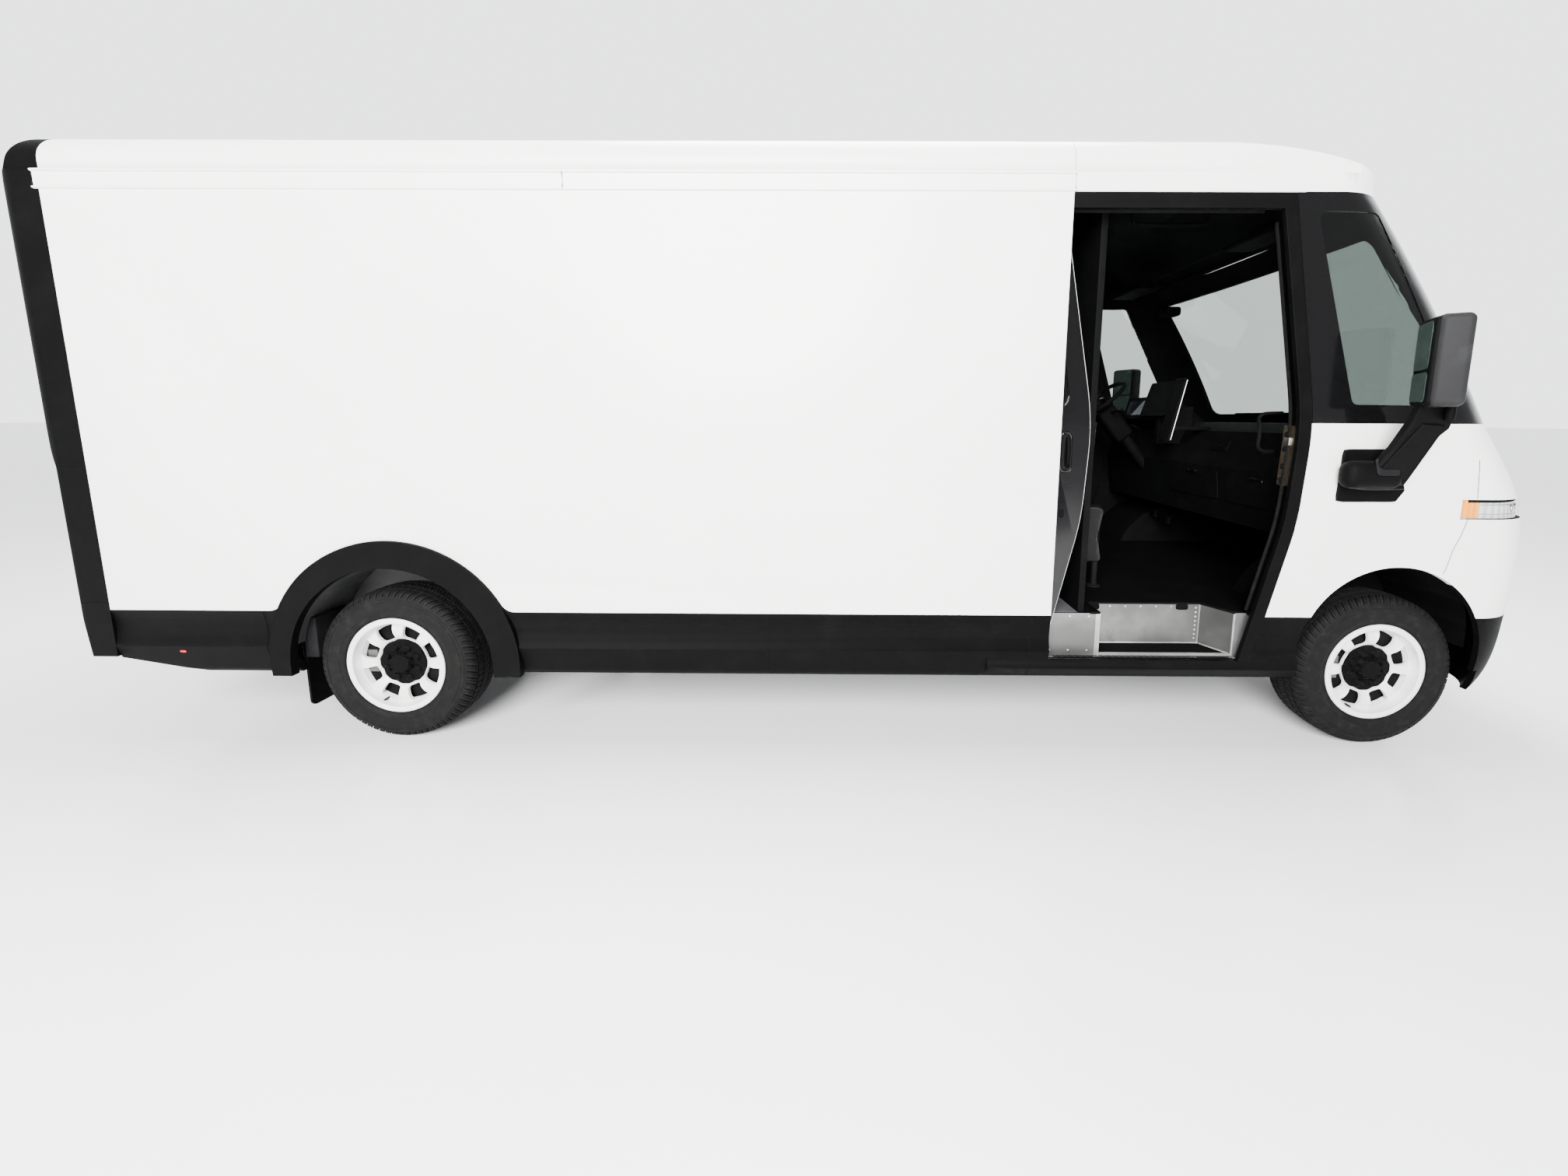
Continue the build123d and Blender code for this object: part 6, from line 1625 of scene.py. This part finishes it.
class VAN_OT_seats(bpy.types.Operator):
    """Driver's seat with swollen bolsters, its base and buckle, and the folded seat by the entrance."""

    bl_idname = "van.seats"
    bl_label = "Seats"

    def execute(self, context):
        p = context.scene.van_seats
        x, y = 1.643, 0.500
        pads = {
            "seat_base_pad": [
                ((x - 0.205, y - 0.150, 1.070), (x + 0.215, y + 0.150, 1.145), 0.030, 0.010, 0.006, 2),
            ],
            "seat_base_bolsters": [
                ((x - 0.205, y - 0.228, 1.060), (x + 0.205, y - 0.160, 1.152), 0.030, 0.004, 0.004, 2),
                ((x - 0.205, y + 0.160, 1.060), (x + 0.205, y + 0.228, 1.152), 0.030, 0.004, 0.004, 2),
            ],
            "seat_back_pad": [((0.020, -0.150, 0.055), (0.088, 0.150, 0.600), 0.030, 0.010, 0.006, 0)],
            "seat_back_bolsters": [
                ((0.018, -0.228, 0.060), (0.105, -0.160, 0.560), 0.030, 0.004, 0.004, 0),
                ((0.018, 0.160, 0.060), (0.105, 0.228, 0.560), 0.030, 0.004, 0.004, 0),
            ],
            "seat_head_pad": [((0.022, -0.125, 0.672), (0.080, 0.125, 0.815), 0.028, 0.006, 0.004, 0)],
        }
        for name, boxes in pads.items():
            for number, measures in enumerate(boxes):
                pad = cushion(*measures)
                if "base" not in name:
                    pad = leaned(pad, (1.420, y, 1.170), 0.03)
                piece = puffed(context, Shell().grid(pad), f"{name}_{number}", p)
                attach(piece, "van")

        seat = Shell()
        seat.box((x - 0.180, y - 0.180, 0.640), (x + 0.180, y + 0.180, 0.930), 0.020)
        for z in (0.955, 0.985, 1.015):
            seat.box((x - 0.160, y - 0.165, z - 0.010), (x + 0.160, y + 0.165, z + 0.010), 0.010, look=1)
        seat.box((x - 0.215, y - 0.225, 1.025), (x + 0.205, y + 0.225, 1.085), 0.020, 4)
        back = block((-0.002, -0.215, 0.020), (0.035, 0.215, 0.630), 0.018, 4)
        seat.grid(leaned(back, (1.432, y, 1.170), 0.03))
        for side in (-0.07, 0.07):
            seat.rod((1.400, y + side, 1.780), (1.440, y + side, 1.860), 0.007, 10, look=2)
            rail = y + side * 2.4
            seat.box((x - 0.200, rail - 0.018, 0.642), (x + 0.190, rail + 0.018, 0.668), 0.006, look=2)
        seat.box((1.565, y - 0.262, 1.085), (1.612, y - 0.232, 1.185), 0.010, look=1)
        add_piece(seat, "seat_frame", "van", "trim gloss steel", "interior_grey", ["driver_seat"])

        shell = Shell().grid(cushion((1.352, -0.596, 0.772), (1.592, -0.524, 1.088), 0.022, 0.004, 0.003, 1))
        piece = puffed(context, shell, "folded_seat_pad", p)
        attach(piece, "van")
        folded = Shell()
        folded.box((1.348, -0.548, 0.765), (1.598, -0.517, 1.095), 0.012, 4)
        folded.box((1.333, -0.590, 0.800), (1.363, -0.530, 1.060), 0.006, look=1)
        for z in (0.84, 1.02):
            folded.rod((1.356, -0.600, z), (1.356, -0.520, z), 0.012, 12, look=1)
        folded.rod((1.568, -0.560, 0.640), (1.568, -0.560, 0.780), 0.016, 14, look=1, steps=4)
        foot = np.array([(1.568, -0.560, 0.640), (1.568, -0.560, 0.646), (1.568, -0.560, 0.650)])
        folded.tube(foot, (0.036, 0.036, 0.018), 20, look=1)
        add_piece(folded, "folded_seat_frame", "van", "trim frame", "interior_grey", ["jump_seat"])
        return {"FINISHED"}


# ------------------------------------------------------------------ rear and underside
class VanRear(bpy.types.PropertyGroup):
    """Shape of the roll-up door and the parts underneath."""

    slats: IntProperty(name="Slats", description="Slats of the roll-up door", default=9, min=3, max=24)
    ribs: IntProperty(
        name="Ribs", description="Cooling ribs of the battery's side", default=16, min=4, max=40
    )
    crown: metres("Slat crown", 0.006, "How far each slat swells")


class VAN_OT_rear(bpy.types.Operator):
    """Roll-up door's slats, handle and rails, blank plate, lamp rims, reflectors and the step's tread."""

    bl_idname = "van.rear"
    bl_label = "Rear"

    def execute(self, context):
        p = context.scene.van_rear
        door = Shell()
        edges = np.linspace(0.700, 2.430, p.slats + 1)
        for low, high in zip(edges[:-1], edges[1:]):
            z = low + (high - low) * np.array([0.006, 0.02, 0.10, 0.30, 0.50, 0.70, 0.90, 0.98, 0.994])
            out = p.crown * np.array([-0.6, 0.35, 0.8, 0.97, 1.0, 0.97, 0.8, 0.35, -0.6])
            y = np.linspace(-0.925, 0.925, 5)
            x = -3.3035 - out[:, None] + 0 * y[None]
            door.grid(np.stack([x, x * 0 + y[None], x * 0 + z[:, None]], -1), around=False)
        door.box((-3.325, -0.925, 0.642), (-3.302, 0.925, 0.698), 0.006, look=1)
        for side in (-1, 1):
            y = side * 0.940
            door.box((-3.318, y - 0.018, 0.642), (-3.300, y + 0.018, 2.448), 0.004, look=2)
            door.bolts([(-3.318, y, z) for z in np.linspace(0.80, 2.36, 7)], BACK, look=3)
            pull = ((-3.306, 0.735), (-3.345, 0.745), (-3.345, 0.865), (-3.306, 0.875))
            pull = [(x, side * 0.42, z) for x, z in pull]
            door.bent(pull, 0.009, look=3)
        door.panel(
            centred(0.060, 0.045), 0.012, 0.014, (-3.308, 0, 0.800), RIGHT, UP, look=3, bevel=0.004, steps=8
        )
        door.box((-3.352, -0.075, 0.788), (-3.320, 0.045, 0.808), 0.008, look=3)
        add_piece(door, "roll_door_slats", "van", "white alloy frame steel", "white_paint", sharp=50)

        tail = Shell()
        for side in (-1, 1):
            for z, half in ((1.190, 0.052), (1.085, 0.052), (1.265, 0.026)):
                spot = hit("lamps", (PAST_TAIL, side * 1.012, z))
                rim = laid(rounded(centred(0.038, half), 0.012, 8), 0.001, spot, RIGHT, UP)
                tail.tube(np.concatenate([rim, rim[:1]]), 0.0035, 8)
            spot = hit("rear_frame", (PAST_TAIL, side * 0.90, 0.52)) + (0.001, 0, 0)
            tail.panel(centred(0.055, 0.022), 0.010, 0.005, spot, RIGHT, UP, look=1, bevel=0.0015)
        # clearance lamps, high brake lamp and blank plate
        for y in (-0.16, 0.0, 0.16, -0.97, 0.97):
            spot = hit("rear_frame", (PAST_TAIL, y, 2.56)) + (0.001, 0, 0)
            tail.panel(centred(0.042, 0.014), 0.008, 0.007, spot, RIGHT, UP, look=1)
        spot = hit("rear_frame", (PAST_TAIL, 0.0, 2.56)) + (0.001, 0, 0.075)
        tail.panel(centred(0.17, 0.012), 0.006, 0.006, spot, RIGHT, UP, look=1)
        spot = hit("rear_frame", (PAST_TAIL, 0.0, 0.545))
        tail.panel(centred(0.155, 0.050), 0.008, 0.002, spot, RIGHT, UP, look=2, bevel=0.0005)
        tail.bolts([spot + (-0.002, y, 0.032) for y in (-0.09, 0.09)], BACK, 0.005, look=3)
        for y in np.linspace(-0.74, 0.74, 38):
            for x in (-3.405, -3.365, -3.325, -3.285):
                tail.rod((x - 0.012, y - 0.008, 0.4305), (x + 0.012, y + 0.008, 0.4305), 0.0022, 6, steps=2)
        add_piece(tail, "rear_details", "van", "cladding red white steel", "lamp_clear")
        return {"FINISHED"}


class VAN_OT_under(bpy.types.Operator):
    """Battery ribs, springs and dampers, mudflap brackets, and fixings of the frame."""

    bl_idname = "van.under"
    bl_label = "Underside"

    def execute(self, context):
        p = context.scene.van_rear
        for hand, sign in SIDES:
            under = Shell(sign)
            # ribs and top rail of the battery's side
            for x in np.linspace(-1.20, 1.86, p.ribs):
                under.box((x - 0.035, 0.826, 0.318), (x + 0.035, 0.848, 0.438), 0.006, 2)
            under.box((-1.345, 0.815, 0.440), (2.010, 0.862, 0.462), 0.005, 2, look=1)
            under.bolts([(x, 0.862, 0.451) for x in np.linspace(-1.30, 1.96, 15)], LEFT, 0.007, look=2)
            # mudflap brackets, then spring and damper of the rear axle
            under.box((-2.425, 0.842, 0.400), (-2.347, 1.028, 0.600), 0.006, look=1)
            under.box((-2.600, 0.990, 0.352), (-2.412, 1.014, 0.600), 0.004, 2, look=1)
            turns = np.linspace(0, TURN * 6.5, 130)
            coil = np.stack([0.050 * np.cos(turns), 0.050 * np.sin(turns), 0.0145 * turns / math.pi], -1)
            coil += (-1.958, 0.700, 0.462)
            under.tube(coil[coil[:, 2] < 0.585], 0.0075, 8, look=1)
            damper = straight((-1.80, 0.640, 0.415), (-1.72, 0.600, 0.590), 4)
            under.tube(damper, (0.026, 0.026, 0.017, 0.017), 14, look=3)
            add_piece(under, f"underside_{hand}", "van", "case frame steel gloss", "case_grey")
        rails = Shell()
        for x in np.linspace(-3.0, 2.2, 14):
            for y in (-0.612, 0.612):
                rails.bolts([(x, y, 0.53), (x + 0.05, y, 0.53)], (0, math.copysign(1, y), 0), 0.009)
        for y in np.linspace(-0.22, 0.22, 9):
            rails.box((2.50, y - 0.006, 0.250), (2.886, y + 0.006, 0.262), 0.003, 2, look=1)
        add_piece(rails, "frame_fixings", "van", "steel case", "cast_metal")
        return {"FINISHED"}


class VAN_OT_stage(bpy.types.Operator):
    """Add the camera, the pale floor and the soft lights."""

    bl_idname = "van.stage"
    bl_label = "Stage"

    def execute(self, context):
        p = context.scene.van_stage
        camera = bpy.data.objects.new("camera", bpy.data.cameras.new("camera"))
        context.collection.objects.link(camera)
        context.scene.camera = camera
        camera.data.sensor_width = 36
        camera.data.lens = p.lens
        camera.data.shift_x, camera.data.shift_y = -0.0345, -0.0607
        camera.data.clip_start, camera.data.clip_end = 0.05, 200
        camera.location = (0.16296, -3.61849, 1.55753)
        camera.rotation_euler = [math.radians(a) for a in (82.4574, -0.2632, 0.2928)]

        f = Finish("studio_floor")
        cloudy = f.noise(0.4, 3)
        f.coat(f.mix(cloudy, shade(p.floor, 0.985), p.floor), 0.20 + 0.03 * f.noise(1.5, 2))
        floor = Shell()
        x, y = np.meshgrid(np.linspace(-150, 150, 9), np.linspace(-150, 150, 9), indexing="ij")
        floor.grid(np.stack([x, y, 0 * x], -1), around=False)
        floor.build("studio_floor", f.material)

        world = bpy.data.worlds.new("studio")
        context.scene.world = world
        world.use_nodes = True
        tree = world.node_tree
        sky = tree.nodes["Background"]
        way = tree.nodes.new("ShaderNodeTexCoord").outputs["Generated"]
        split = tree.nodes.new("ShaderNodeSeparateXYZ")
        ramp = tree.nodes.new("ShaderNodeMapRange")
        ramp.interpolation_type = "SMOOTHSTEP"
        for key, value in {
            "From Min": -0.2, "From Max": 0.45, "To Min": p.shade * p.sky, "To Max": p.sky
        }.items():
            ramp.inputs[key].default_value = value
        tree.links.new(way, split.inputs[0])
        tree.links.new(split.outputs["Y"], ramp.inputs["Value"])
        tree.links.new(ramp.outputs["Result"], sky.inputs["Strength"])
        sky.inputs["Color"].default_value = (0.97, 0.98, 1, 1)
        for name, place, aim, size, power in (
            ("overhead", (0.3, 1.2, 7.0), (0, 0, 0), 6, 2000),
            ("front_fill", (-1.6, -9, 5.0), (0, 0, 1.4), 6, 4600),
            ("rear_fill", (-2, 8, 5), (0, 0, 1.2), 7, 500),
        ):
            lamp = bpy.data.lights.new(name, "AREA")
            lamp.shape, lamp.size, lamp.energy = "DISK", size, power
            holder = bpy.data.objects.new(name, lamp)
            context.collection.objects.link(holder)
            holder.location = place
            holder.rotation_euler = (Vector(aim) - Vector(place)).to_track_quat("-Z", "Y").to_euler()
        return {"FINISHED"}


class VAN_OT_frame_looks(bpy.types.Operator):
    """Give every carried-over node its finish."""

    bl_idname = "van.frame_looks"
    bl_label = "Frame finishes"

    def execute(self, context):
        looks(context)
        for look, names in NODE_LOOKS.items():
            for name in names.split():
                node = NODES[name]
                node.data.materials.clear()
                node.data.materials.append(LOOKS[look])
        return {"FINISHED"}


class VAN_PT_builder(bpy.types.Panel):
    """Lists the van's builders."""

    bl_idname = "VAN_PT_builder"
    bl_label = "Delivery van"
    bl_space_type = "VIEW_3D"
    bl_region_type = "UI"
    bl_category = "Van"

    def draw(self, context):
        for step in STEPS:
            self.layout.operator(step.bl_idname)


GROUPS = {
    "van_finishes": VanFinishes,
    "van_wheels": VanWheels,
    "van_body": VanBody,
    "van_mirrors": VanMirrors,
    "van_doors": VanDoors,
    "van_front": VanFront,
    "van_cab": VanCab,
    "van_seats": VanSeats,
    "van_rear": VanRear,
    "van_stage": VanStage,
}
STEPS = (
    VAN_OT_frame_looks,
    VAN_OT_tyres,
    VAN_OT_wheels,
    VAN_OT_shell,
    VAN_OT_lines,
    VAN_OT_mirrors,
    VAN_OT_doors,
    VAN_OT_steps,
    VAN_OT_front,
    VAN_OT_steering,
    VAN_OT_dash,
    VAN_OT_bulkhead,
    VAN_OT_seats,
    VAN_OT_rear,
    VAN_OT_under,
    VAN_OT_stage,
)


def register():
    for kind in (*GROUPS.values(), *STEPS, VAN_PT_builder):
        bpy.utils.register_class(kind)
    for name, kind in GROUPS.items():
        setattr(bpy.types.Scene, name, PointerProperty(type=kind))


def unregister():
    for name in GROUPS:
        delattr(bpy.types.Scene, name)
    for kind in (VAN_PT_builder, *STEPS, *GROUPS.values()):
        bpy.utils.unregister_class(kind)


def main():
    """Register and run every builder in order."""
    register()
    for step in STEPS:
        getattr(bpy.ops.van, step.bl_idname.split(".")[1])()


if __name__ == "__main__":
    main()
